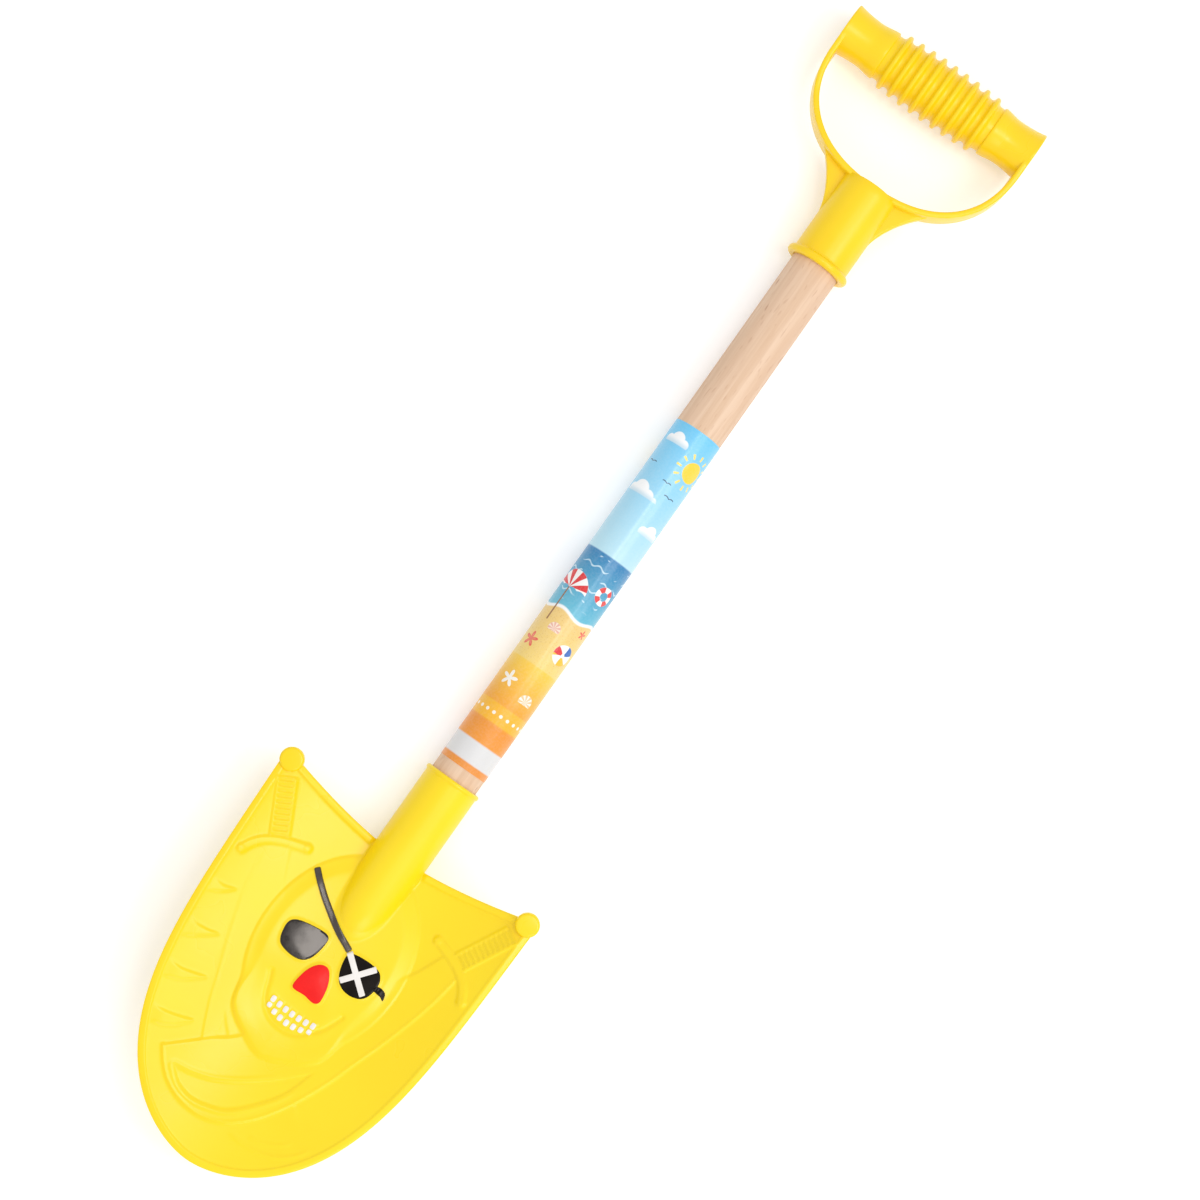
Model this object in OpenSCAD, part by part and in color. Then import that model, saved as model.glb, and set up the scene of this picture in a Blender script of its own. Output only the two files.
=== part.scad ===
// Sand shovel with a moulded blade, a round wooden stick and a D-shaped handle.
// It lies on its back: X runs across the blade, Y from the tip to the grip, Z up
// out of the hollow face. The origin is under the middle of the whole tool.
// Inside the tool's own frame the stick's axis is Y and the blade socket's mouth is at 0.

/* [Stick] */
// Diameter of the wooden stick
stick_d = 24; // [20:0.5:28]
// Length of stick that shows between the two sockets
stick_shown = 291; // [260:1:420]
// Chamfer on both ends of the stick
stick_chamfer = 1.5; // [0.5:0.25:3]
// Gap all round between the stick and its sockets
socket_fit = 0.1; // [0.05:0.05:0.3]

/* [Paper label] */
// Distance from the blade socket's mouth to the label
label_start = 7; // [4:0.5:20]
// Length of the label along the stick
label_l = 189; // [80:1:230]
// Thickness of the label
label_t = 0.15; // [0.1:0.05:0.4]
// Gap between the label and the stick
label_fit = 0.02; // [0.01:0.01:0.05]

/* [Blade socket] */
// Wall of the blade socket
blade_socket_wall = 1.5; // [1:0.1:3]
// Length of stick inside the blade socket
blade_socket_depth = 60; // [40:1:70]
// Straight length of the socket past the end of the stick
blade_socket_spare = 3; // [1:0.5:6]
// Length of the rounded nose past the straight socket
socket_nose = 28; // [18:1:36]
// Width of the step inside the socket that stops the stick
stop_step = 1.5; // [1:0.25:3]
// Section radius of the bead round the blade socket's mouth
blade_bead_r = 1.2; // [0.8:0.1:2]
// Height of that bead above the socket
blade_bead_rise = 0.75; // [0.4:0.05:1.2]

/* [Pan] */
// Width across the shoulders
pan_w = 139.8; // [120:0.2:170]
// Distance from the socket's mouth to the middle of the top edge
pan_start = 43.5; // [36:0.5:55]
// Length from the middle of the top edge to the tip
pan_l = 162.5; // [150:0.5:200]
// Rise of the top edge from its middle to its corners
pan_top_rise = 12.8; // [4:0.2:18]
// How much narrower each side gets before the tip's round
pan_taper = 6; // [0:0.5:12]
// Depth of the hollow across the shoulders
pan_dish = 20; // [12:0.5:28]
// Angle at which the floor leaves the stick's line
pan_lift = 10; // [5:0.5:15]
// Depth of the floor below the stick's axis at the top edge
pan_drop = 1.5; // [0:0.25:4]
// Wall of the pan
pan_wall = 2.2; // [1.6:0.1:3]
// Width of the bead round the rim
rim_w = 4; // [2.5:0.25:5]
// Height of the bead round the rim
rim_rise = 1.2; // [0.5:0.1:2.5]
// Radius of the round stud at each corner
stud_r = 5.7; // [4:0.1:8]
// Distance of each stud's centre from the side
stud_inset = 4.5; // [3:0.1:7]
// Distance of each stud's centre from the corner along the stick
stud_drop = 3.5; // [1:0.1:6]
// Height of each stud
stud_h = 7.5; // [5:0.5:11]

/* [Skull] */
// Width of the raised skull
skull_w = 70.8; // [56:0.2:80]
// Height of its round cranium
cranium_h = 94.4; // [80:0.2:96]
// Width of its jaw
jaw_w = 52.8; // [40:0.2:60]
// Distance from the cranium's middle to the chin
chin_drop = 54.3; // [48:0.1:60]
// Distance from the pan's top edge to the cranium's middle
skull_start = 52.5; // [50:0.5:60]
// Height of the skull's edge above the pan
skull_rise = 3.4; // [2:0.1:4]
// Further height at the skull's middle
skull_dome = 1.4; // [0.5:0.1:2.5]
// Width of the slope round the skull
skull_bevel = 3.5; // [2:0.1:5]

/* [Painted face] */
// Thickness of the paint
paint_t = 0.3; // [0.2:0.05:0.6]
// Gap between the paint and the blade
paint_fit = 0.1; // [0.05:0.05:0.2]
// Width of each eye
eye_w = 20; // [14:0.5:22]
// Height of each eye
eye_h = 17; // [12:0.5:20]
// Distance of each eye's middle from the centre line
eye_out = 15; // [13:0.25:18]
// Distance of the eyes below the cranium's middle
eye_drop = 1.5; // [0:0.1:4]
// Width of the nose
nose_w = 14.8; // [10:0.2:17]
// Height of the nose
nose_h = 16.8; // [12:0.2:20]
// Distance from the cranium's middle to the nose's tip
nose_drop = 5.5; // [4:0.25:9]
// Distance between teeth
tooth_pitch = 3.7; // [3:0.1:4.2]
// Width of a tooth
tooth_w = 2.9; // [2:0.1:3.3]
// Height of a tooth
tooth_h = 4.1; // [3:0.1:4.6]
// Number of teeth in each row
tooth_count = 7; // [5:2:9]
// Distance from the cranium's middle to the line between the rows
bite_drop = 33; // [30:0.1:36]
// Distance between the two rows
bite_gap = 5.3; // [4.8:0.1:6]
// Rise of the lower row from its middle to its ends
smile_rise = 1.7; // [0:0.1:1.8]
// How much shorter the lower row's end teeth are
smile_short = 1.2; // [0.8:0.1:2]
// Width of the painted head strap
strap_w = 3.2; // [2:0.1:4.5]
// Width of the bars of the cross on the patch
cross_bar = 2.7; // [1.5:0.1:3.5]
// Length of the short strap past the patch
strap_tail = 5.6; // [3:0.1:8]

/* [Handle socket] */
// Wall of the handle socket
handle_socket_wall = 2; // [1.4:0.1:3]
// Length of stick inside the handle socket
handle_socket_depth = 43; // [30:1:44]
// Section radius of the bead round the handle socket's mouth
handle_bead_r = 2; // [1.2:0.1:3]
// Height of that bead above the socket
handle_bead_rise = 2.1; // [1:0.1:2.8]

/* [Handle] */
// Distance from the socket's mouth to the grip's axis
grip_reach = 101.5; // [100:0.5:125]
// Length of the grip
grip_l = 106.6; // [94:0.2:130]
// Radius of the grip's flared ends
grip_end_r = 12.9; // [12:0.1:14]
// Radius of the grip's waists
grip_waist_r = 11.45; // [10.5:0.05:12]
// Radius of the collars beside the ribs
grip_collar_r = 12.55; // [12:0.05:14]
// Distance of each collar from the grip's middle
grip_collar_out = 30.4; // [28:0.2:36]
// Radius of the ribbed part at its ends
grip_body_r = 11.4; // [10.5:0.1:12.3]
// Further radius of the ribbed part at its middle
grip_barrel = 1.2; // [0:0.1:1.8]
// Radius of the hollow cored into each end of the grip
grip_core_r = 8.6; // [6:0.1:9.4]
// Thickness of the web between the two hollows
grip_web = 4; // [2:0.5:10]
// Number of ribs
rib_count = 9; // [5:2:9]
// Distance between ribs
rib_pitch = 6.25; // [5:0.05:6.8]
// Height of the ribs above the body
rib_rise = 2.6; // [1:0.1:3.5]
// Thickness of a rib at its foot
rib_foot = 3.2; // [2.4:0.1:4]
// Radius of a rib's round tip
rib_tip_r = 1; // [0.6:0.1:1.1]
// Thickness of the loop's strap
loop_t = 2.9; // [2:0.1:4]
// Depth of the strap beside the grip
loop_depth_top = 24; // [18:0.5:25]
// Depth of the strap beside the socket
loop_depth = 16; // [10:0.5:18]
// Straight length of the loop below the grip's axis
loop_straight = 12; // [9:0.1:16]
// Depth of the loop's round part
loop_drop = 43; // [36:0.5:46]
// Thickness of the webs beside the socket
gusset_t = 5; // [3:0.5:8]
// Reach of the webs out along the loop
gusset_out = 21.5; // [14:0.5:26]
// Reach of the webs down the socket
gusset_down = 22; // [12:0.5:26]

/* [Fixing nails] */
// Distance of each nail from its socket's mouth
nail_in = 20; // [12:0.5:30]
// Radius of a nail's shank
nail_r = 0.9; // [0.7:0.05:1.2]
// Length of a nail below its head
nail_l = 11; // [8:0.5:14]
// Length of a nail's point
nail_point = 2; // [1:0.25:3]
// Radius of a nail's head
nail_head_r = 2.2; // [1.6:0.1:3]
// Thickness of a nail's head
nail_head_t = 0.4; // [0.3:0.05:0.6]
// Gap all round a nail
nail_fit = 0.05; // [0.02:0.01:0.1]

/* [Hidden] */
$fn = 96;
plastic_yellow = "#fce23c";
grip_yellow = "#fcdd3a";

// One overrun serves all cuts
cut_over = 1;

stick_r = stick_d / 2;
bore_r = stick_r + socket_fit;
blade_tube_r = bore_r + blade_socket_wall;
handle_tube_r = bore_r + handle_socket_wall;
tube_straight = blade_socket_depth + blade_socket_spare;
handle_y = stick_shown;
grip_y = handle_y + grip_reach;
rib_r = grip_body_r + grip_barrel + rib_rise;
tip_y = -pan_start - pan_l;
top_y = grip_y + rib_r;
mid_y = (tip_y + top_y) / 2;
rest_z = max(rib_r, blade_tube_r + blade_bead_rise, handle_tube_r + handle_bead_rise);

// Pan outline: the powers of its top edge, sides and tip, and how much the hollow
// fades towards the tip
pan_half = pan_w / 2;
corner_y = -pan_start + pan_top_rise;
side_l = corner_y - tip_y;
top_power = 1.7;
side_power = 4.5;
tip_power = 1.82;
dish_fade_share = 0.35;
top_steps = 24;
side_steps = 36;
side_bunch = 1.6;
ray_count = top_steps + 2 * side_steps;
// Steps of the rim's bead, as shares of its width and height
bead_shares = [[0, 0.4], [0.18, 1], [0.65, 1], [1, 0]];
field_steps = 5;
back_field_steps = 4;
face_steps = 6;
hub_r = 4;
field_least = 0.8;

skull_mid = [0, -pan_start - skull_start];
// Right half of the jaw from the cheek to the chin, as shares of its half width and of its drop
jaw_shares = [[1, 0.4], [0.98, 0.71], [0.886, 0.82], [0.49, 0.926], [0, 1]];
jaw_points = [for (s = jaw_shares) [s.x * jaw_w / 2, -s.y * chin_drop]];

// Outline of an open eye and of the patched eye, as shares of the eye's width and height
eye_shares = [[-0.5, 0.12], [-0.42, 0.36], [-0.2, 0.47], [0.15, 0.5], [0.48, 0.48], [0.5, 0.33],
    [0.42, 0.02], [0.29, -0.28], [0.09, -0.47], [-0.13, -0.52], [-0.36, -0.43], [-0.48, -0.17]];
patch_shares = [[-0.49, 0.36], [-0.22, 0.51], [0.12, 0.53], [0.41, 0.46], [0.5, 0.24],
    [0.47, -0.05], [0.4, -0.35], [0.17, -0.5], [-0.11, -0.45], [-0.37, -0.23], [-0.48, 0.07]];
nose_shares = [[0, 0], [-0.24, -0.15], [-0.42, -0.46], [-0.5, -0.81], [-0.46, -0.97], [-0.24, -1],
    [0, -0.97], [0.24, -1], [0.46, -0.97], [0.5, -0.81], [0.42, -0.46], [0.24, -0.15]];
tooth_shares = [[-0.5, 0.3], [-0.3, 0.5], [0.3, 0.5], [0.5, 0.3], [0.5, -0.3], [0.3, -0.5],
    [-0.3, -0.5], [-0.5, -0.3]];
// Ends of the cross's two bars, as shares of the eye's width and height
cross_shares = [[[-0.48, 0.4], [0.36, -0.32]], [[0.3, 0.47], [-0.25, -0.34]]];
// Middle line of the head strap, as shares of the skull's half width and of half the cranium's height
strap_shares = [[-0.785, 0.6], [-0.645, 0.49], [-0.455, 0.37], [-0.232, 0.263], [-0.04, 0.18],
    [0.155, 0.112]];
film_rings = 3;
tooth_rings = 2;
// Place of the nose's middle, of the short strap's foot and of the grip's waists
nose_mid_share = 0.6;
tail_shares = [0.5, 0.08];
waist_share = 0.4;

eye_y = skull_mid.y - eye_drop;
eye_mid = [-eye_out, eye_y];
patch_mid = [eye_out, eye_y];

// Places a shape of the tool's own frame where the tool lies
module laid() { translate([0, -mid_y, rest_z]) children(); }
// Turns an outline of radius and place about the stick's axis
module turned_y() { rotate([-90, 0, 0]) rotate_extrude() children(); }
// Turns an outline of radius and place about the grip's axis
module turned_x() { rotate([0, 90, 0]) rotate_extrude() children(); }
// A cylinder on the stick's axis from one place to another
module rod_y(from, to, r) { translate([0, from, 0]) rotate([-90, 0, 0]) cylinder(h = to - from, r = r); }

function ease(u) = u * u * (3 - 2 * u);
function mix(a, b, u) = a + (b - a) * u;
function turn(a, b) = a.x * b.y - a.y * b.x;
function unit(v) = v / norm(v);

// Half width of the pan at a share of its side's length
function side_half(t) = (pan_half - pan_taper * t) * pow(max(0, 1 - pow(t, side_power)), 1 / tip_power);
// Points of the rim: along the top edge from right to left, down to the tip and up again
function side_point(j, hand) =
    let (t = 1 - pow(1 - j / side_steps, side_bunch))
    [hand * side_half(t), corner_y - side_l * t];
function top_point(i) =
    let (x = pan_half * (1 - 2 * i / top_steps))
    [x, -pan_start + pan_top_rise * pow(abs(x) / pan_half, top_power)];
rim_points = [for (i = [0 : ray_count - 1])
    i < top_steps ? top_point(i)
    : i < top_steps + side_steps ? side_point(i - top_steps, -1)
    : side_point(ray_count - i, 1)];

// Height of the pan's plain hollow
function floor_z(y) = tan(pan_lift) * (-pan_start - y) - pan_drop;
function fade(y) = min(1, max(0, (-pan_start - y) / pan_l));
function base_z(p) = floor_z(p.y) + pan_dish * (1 - dish_fade_share * fade(p.y)) * pow(p.x / pan_half, 2);

// Distance from the skull's middle to its edge in a direction
function cranium_edge(d) = 1 / norm([d.x / (skull_w / 2), d.y / (cranium_h / 2)]);
function jaw_hit(d, a, b) =
    let (e = b - a, den = turn(d, e), s = den == 0 ? -1 : turn(a, d) / den)
    s < 0 || s > 1 ? 0 : max(0, turn(a, e) / den);
function jaw_edge(d) =
    max([for (k = [0 : len(jaw_points) - 2]) jaw_hit([abs(d.x), d.y], jaw_points[k], jaw_points[k + 1])]);
function skull_edge(d) = max(cranium_edge(d), jaw_edge(d));

// Height of the skull above the plain hollow, with its edge drawn in by an inset
function relief(p, inset = 0) =
    let (v = p - skull_mid, r = norm(v), edge = r == 0 ? skull_w / 2 : skull_edge(v / r))
    let (inside = edge - inset - r)
    inside <= 0 ? 0
    : skull_rise * ease(min(1, inside / skull_bevel)) + skull_dome * (1 - pow(r / edge, 2));
function face_z(p) = base_z(p) + relief(p);
function back_z(p) = base_z(p) - pan_wall + relief(p, pan_wall);

// Radii of one ray's rings from the rim to the middle of the skull
function shell_radii(reach, edge, rim, steps) = concat(
    [for (s = rim) reach - s * rim_w],
    [for (k = [1 : steps]) mix(reach - rim_w, edge, k / steps)],
    [edge - skull_bevel / 2, edge - skull_bevel],
    [for (k = [1 : face_steps]) mix(edge - skull_bevel, hub_r, k / face_steps)]);
function ray_edge(reach, d) = min(skull_edge(d), reach - rim_w - field_least);
front_rings = [for (p = rim_points)
    let (reach = norm(p - skull_mid), d = unit(p - skull_mid))
    let (radii = shell_radii(reach, ray_edge(reach, d), [for (b = bead_shares) b.x], field_steps))
    [for (k = [0 : len(radii) - 1])
        let (q = skull_mid + d * radii[k], bead = k < len(bead_shares) ? bead_shares[k].y * rim_rise : 0)
        [q.x, q.y, face_z(q) + bead]]];
back_rings = [for (p = rim_points)
    let (reach = norm(p - skull_mid), d = unit(p - skull_mid))
    let (radii = shell_radii(reach, ray_edge(reach, d) - pan_wall, [0, 1], back_field_steps))
    [for (r = radii) let (q = skull_mid + d * r) [q.x, q.y, back_z(q)]]];

// Faces of a sheet of rings: rays side by side, each a run of points from the rim inwards
function sheet_faces(rings, first, up) = [for (i = [0 : ray_count - 1])
    let (a = first + i * rings, b = first + ((i + 1) % ray_count) * rings)
    for (k = [0 : rings - 2], half = [0, 1])
    let (f = half == 0 ? [a + k, a + k + 1, b + k + 1] : [a + k, b + k + 1, b + k])
    up ? f : [f[2], f[1], f[0]]];

module pan() {
    front_n = len(front_rings[0]);
    back_n = len(back_rings[0]);
    back_first = ray_count * front_n;
    hub_front = back_first + ray_count * back_n;
    hub_back = hub_front + 1;
    points = concat([for (ray = front_rings) each ray], [for (ray = back_rings) each ray],
        [[skull_mid.x, skull_mid.y, face_z(skull_mid)], [skull_mid.x, skull_mid.y, back_z(skull_mid)]]);
    ends = [for (i = [0 : ray_count - 1])
        let (j = (i + 1) % ray_count, fi = i * front_n, fj = j * front_n)
        let (bi = back_first + i * back_n, bj = back_first + j * back_n)
        each [[fi, fj, bj], [fi, bj, bi],
            [fi + front_n - 1, hub_front, fj + front_n - 1],
            [bi + back_n - 1, bj + back_n - 1, hub_back]]];
    polyhedron(points, concat(sheet_faces(front_n, 0, true), sheet_faces(back_n, back_first, false), ends));
}

// Outline of the socket's round nose with its straight part up to the mouth
function nose_outline(r, straight, nose) = concat([[0, 0], [r, 0]],
    [for (a = [0 : 7.5 : 82.5]) [r * cos(a), -straight - nose * sin(a)]], [[0, -straight - nose]]);

// A round stud with rolled edges
module stud() {
    roll = stud_h / 3;
    translate([0, 0, -stud_h / 2]) rotate_extrude()
        polygon(concat([[0, 0]],
            [for (a = [-90 : 15 : 0]) [stud_r - roll + roll * cos(a), roll + roll * sin(a)]],
            [for (a = [0 : 15 : 90]) [stud_r - roll + roll * cos(a), stud_h - roll + roll * sin(a)]],
            [[0, stud_h]]));
}

// A nail with its head's underside at 0 and its shank along +Z
module nail(fit = 0) {
    outline = [[0, -nail_head_t - fit], [nail_head_r + fit, -nail_head_t - fit], [nail_head_r + fit, 0],
        [nail_r + fit, 0], [nail_r + fit, nail_l - nail_point], [0, nail_l + fit]];
    rotate_extrude() polygon(outline);
}
module blade_nail_place() { translate([0, -nail_in, -blade_tube_r]) children(); }
module handle_nail_place() { translate([0, handle_y + nail_in, -handle_tube_r]) children(); }

// Blade: hollow pan with its raised skull, corner studs and the socket
module blade() {
    stud_at = [pan_half - stud_inset, corner_y - stud_drop];
    core_r = bore_r - stop_step;
    color(plastic_yellow) laid() difference() {
        union() {
            pan();
            turned_y() polygon(nose_outline(blade_tube_r, tube_straight, socket_nose));
            translate([0, -blade_bead_r, 0]) turned_y()
                translate([blade_tube_r + blade_bead_rise - blade_bead_r, 0]) circle(r = blade_bead_r);
            for (hand = [-1, 1])
                translate([hand * stud_at.x, stud_at.y, base_z(stud_at)]) stud();
        }
        rod_y(-blade_socket_depth, cut_over, bore_r);
        turned_y() polygon(nose_outline(core_r, tube_straight, socket_nose - 2 * blade_socket_wall));
        blade_nail_place() nail(nail_fit);
    }
}

// Round wooden stick with chamfered ends
module stick() {
    low = -blade_socket_depth;
    high = handle_y + handle_socket_depth;
    neck = stick_r - stick_chamfer;
    color("#e3c29c") laid() difference() {
        turned_y() polygon([[0, low], [neck, low], [stick_r, low + stick_chamfer],
            [stick_r, high - stick_chamfer], [neck, high], [0, high]]);
        blade_nail_place() nail(nail_fit);
        handle_nail_place() nail(nail_fit);
    }
}

// Half of the grip's outline from its middle to its end, as radius and place
function grip_half() =
    let (end = grip_l / 2, waist = mix(grip_collar_out, end, waist_share))
    concat(
        [for (u = [0 : 0.125 : 1])
            [grip_body_r + grip_barrel * (1 - u * u), u * grip_collar_out]],
        [for (u = [0 : 0.25 : 1])
            [mix(grip_collar_r, grip_waist_r, ease(u)), mix(grip_collar_out, waist, u)]],
        [for (u = [0.2 : 0.2 : 1])
            [mix(grip_waist_r, grip_end_r, u * u), mix(waist, end, u)]]);

module grip() {
    half = grip_half();
    n = len(half);
    left = [for (k = [n - 1 : -1 : 1]) [half[k].x, -half[k].y]];
    turned_x() polygon(concat([[0, -grip_l / 2]], left, half, [[0, grip_l / 2]]));
    for (k = [0 : rib_count - 1]) {
        x = (k - (rib_count - 1) / 2) * rib_pitch;
        r = grip_body_r + grip_barrel * (1 - pow(x / grip_collar_out, 2));
        translate([x, 0, 0]) turned_x() rib_section(r);
    }
}

// Section of one rib on a body of a given radius
module rib_section(r) {
    top = r + rib_rise - rib_tip_r;
    polygon(concat([[0, -rib_foot / 2], [r, -rib_foot / 2]],
        [for (a = [-75 : 15 : 75]) [top + rib_tip_r * cos(a), rib_tip_r * sin(a)]],
        [[r, rib_foot / 2], [0, rib_foot / 2]]));
}

// Lower part of the loop as half a rounded oval below the grip's axis, right to left
loop_power = 2.28;
function loop_curve(half, drop) = [for (a = [0 : 5 : 180])
    [half * sign(cos(a)) * pow(abs(cos(a)), 2 / loop_power),
        -loop_straight - drop * pow(abs(sin(a)), 2 / loop_power)]];

module loop() {
    outer = loop_curve(grip_l / 2, loop_drop + loop_t);
    inner = loop_curve(grip_l / 2 - loop_t, loop_drop);
    n = len(inner);
    foot = -loop_straight - loop_drop - loop_t;
    intersection() {
        linear_extrude(height = loop_depth_top, center = true)
            polygon(concat([[grip_l / 2, 0]], outer, [[-grip_l / 2, 0], [loop_t - grip_l / 2, 0]],
                [for (k = [n - 1 : -1 : 0]) inner[k]], [[grip_l / 2 - loop_t, 0]]));
        rotate([0, 90, 0]) linear_extrude(height = grip_l + cut_over, center = true)
            polygon([[-loop_depth_top / 2, cut_over], [loop_depth_top / 2, cut_over],
                [loop_depth_top / 2, 0], [loop_depth / 2, -loop_straight - loop_drop / 2],
                [loop_depth / 2, foot - cut_over], [-loop_depth / 2, foot - cut_over],
                [-loop_depth / 2, -loop_straight - loop_drop / 2], [-loop_depth_top / 2, 0]]);
    }
}

// Hollow-edged webs between the loop's outer face and the socket's sides
gusset_power = 1.45;
function loop_outer_y(x) =
    -loop_straight - (loop_drop + loop_t) * pow(1 - pow(2 * x / grip_l, loop_power), 1 / loop_power);
module gussets() {
    top = -loop_straight - loop_drop - loop_t / 2;
    corner = [handle_tube_r + gusset_out, top - gusset_down];
    rise = loop_outer_y(corner.x) - corner.y;
    edge = [for (a = [0 : 7.5 : 90])
        [corner.x - gusset_out * pow(cos(a), 2 / gusset_power),
            corner.y + rise * pow(sin(a), 2 / gusset_power)]];
    n = len(edge);
    linear_extrude(height = gusset_t, center = true)
        polygon(concat([for (p = edge) [-p.x, p.y]], [[0, top]], [for (k = [n - 1 : -1 : 0]) edge[k]]));
}

// Handle: socket, loop, webs and the ribbed grip
module handle() {
    socket_top = grip_y - loop_straight - loop_drop;
    core_l = (grip_l - grip_web) / 2;
    color(grip_yellow) laid() difference() {
        union() {
            rod_y(handle_y, socket_top - loop_t / 4, handle_tube_r);
            translate([0, handle_y + handle_bead_r, 0]) turned_y()
                translate([handle_tube_r + handle_bead_rise - handle_bead_r, 0]) circle(r = handle_bead_r);
            translate([0, grip_y, 0]) {
                grip();
                loop();
                gussets();
            }
        }
        rod_y(handle_y - cut_over, handle_y + handle_socket_depth, bore_r);
        for (hand = [-1, 1])
            translate([hand * (grip_l / 2 - core_l), grip_y, 0]) rotate([0, hand * 90, 0])
                cylinder(h = core_l + cut_over, r = grip_core_r);
        handle_nail_place() nail(nail_fit);
    }
}

// Paper label wrapped round the stick
module label() {
    inner = stick_r + label_fit;
    color("#f2c878") laid() difference() {
        rod_y(label_start, label_start + label_l, inner + label_t);
        rod_y(label_start - cut_over, label_start + label_l + cut_over, inner);
    }
}

module blade_nail() { color("silver") laid() blade_nail_place() nail(); }
module handle_nail() { color("silver") laid() handle_nail_place() nail(); }

// Thin film on the face inside an outline round a middle point
module film(mid, outline, rings = film_rings) {
    n = len(outline);
    low = [for (k = [rings : -1 : 1], s = outline) mix(mid, mid + s, k / rings)];
    flat = concat(low, [mid]);
    m = len(flat);
    points = concat([for (p = flat) [p.x, p.y, face_z(p) + paint_fit]],
        [for (p = flat) [p.x, p.y, face_z(p) + paint_fit + paint_t]]);
    bands = [for (k = [0 : rings - 2], i = [0 : n - 1])
        let (j = (i + 1) % n, a = k * n + i, b = k * n + j)
        each [[a, a + n, b + n], [a, b + n, b], [m + a, m + b + n, m + a + n], [m + a, m + b, m + b + n]]];
    hub = (rings - 1) * n;
    caps = [for (i = [0 : n - 1])
        let (j = (i + 1) % n)
        each [[hub + i, m - 1, hub + j], [m + hub + i, m + hub + j, m + m - 1],
            [i, j, m + j], [i, m + j, m + i]]];
    polyhedron(points, [for (f = concat(bands, caps)) [f[0], f[2], f[1]]]);
}

// Thin ribbon on the face along a line of points
module ribbon(line, width) {
    n = len(line);
    aims = [for (k = [0 : n - 1]) unit(line[min(k + 1, n - 1)] - line[max(k - 1, 0)])];
    sides = [for (k = [0 : n - 1], hand = [1, 0, -1]) line[k] + hand * width / 2 * [-aims[k].y, aims[k].x]];
    m = len(sides);
    points = concat([for (p = sides) [p.x, p.y, face_z(p) + paint_fit]],
        [for (p = sides) [p.x, p.y, face_z(p) + paint_fit + paint_t]]);
    tops = [for (k = [0 : n - 2], s = [0, 1])
        let (a = 3 * k + s, b = a + 3)
        each [[m + a, m + b, m + b + 1], [m + a, m + b + 1, m + a + 1], [a, b + 1, b], [a, a + 1, b + 1]]];
    flanks = [for (k = [0 : n - 2])
        let (a = 3 * k, b = a + 3)
        each [[a, b, m + b], [a, m + b, m + a], [a + 2, m + b + 2, b + 2], [a + 2, m + a + 2, m + b + 2]]];
    tail = 3 * (n - 1);
    ends = [for (s = [0, 1])
        each [[s, m + s, m + s + 1], [s, m + s + 1, s + 1],
            [tail + s, m + tail + s + 1, m + tail + s], [tail + s, tail + s + 1, m + tail + s + 1]]];
    polyhedron(points, concat(tops, flanks, ends));
}

function scaled(shares, w, h) = [for (s = shares) [s.x * w, s.y * h]];
function between(a, b, steps) = [for (k = [0 : steps]) mix(a, b, k / steps)];

module eye_paint() { color("#2a2627") laid() film(eye_mid, scaled(eye_shares, eye_w, eye_h)); }

// Patch over the other eye, with room left for the cross that lies on it
module patch_paint() { color("#191718") laid() film(patch_mid, scaled(patch_shares, eye_w, eye_h)); }

module cross_paint() {
    color("white") laid() translate([0, 0, paint_t + paint_fit]) union()
        for (bar = cross_shares) {
            ends = scaled(bar, eye_w, eye_h);
            ribbon(between(patch_mid + ends[0], patch_mid + ends[1], 5), cross_bar);
        }
}

// Head strap in two stretches, cut back from the patch
module strap_paint() {
    run = [for (s = strap_shares) skull_mid + [s.x * skull_w / 2, s.y * cranium_h / 2]];
    tail_from = patch_mid + [tail_shares.x * eye_w, tail_shares.y * eye_h];
    clear = 2 * paint_fit;
    color("#191718") laid() difference() {
        union() {
            ribbon(run, strap_w);
            ribbon(between(tail_from, tail_from + [strap_tail, -strap_w / 2], 3), strap_w);
        }
        translate(patch_mid) linear_extrude(height = pan_l, center = true)
            polygon(scaled(patch_shares, eye_w + clear, eye_h + clear));
    }
}

module nose_paint() {
    tip = skull_mid - [0, nose_drop];
    half = [0, nose_h * nose_mid_share];
    color("#e8352f") laid()
        film(tip - half, [for (s = scaled(nose_shares, nose_w, nose_h)) s + half]);
}

// Two rows of teeth, the lower one curved up and shorter at its ends
module teeth_paint() {
    half = (tooth_count - 1) / 2;
    color("white") laid()
        for (k = [-half : half], row = [1, -1]) {
            out = row > 0 ? 0 : pow(k / half, 2);
            mid = skull_mid + [k * tooth_pitch, row * bite_gap / 2 - bite_drop + out * smile_rise];
            film(mid, scaled(tooth_shares, tooth_w, tooth_h - out * smile_short), tooth_rings);
        }
}

blade();
stick();
handle();
label();
blade_nail();
handle_nail();
eye_paint();
patch_paint();
cross_paint();
strap_paint();
nose_paint();
teeth_paint();
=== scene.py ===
import math

import bpy
import numpy as np
from mathutils import Matrix, Vector


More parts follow.
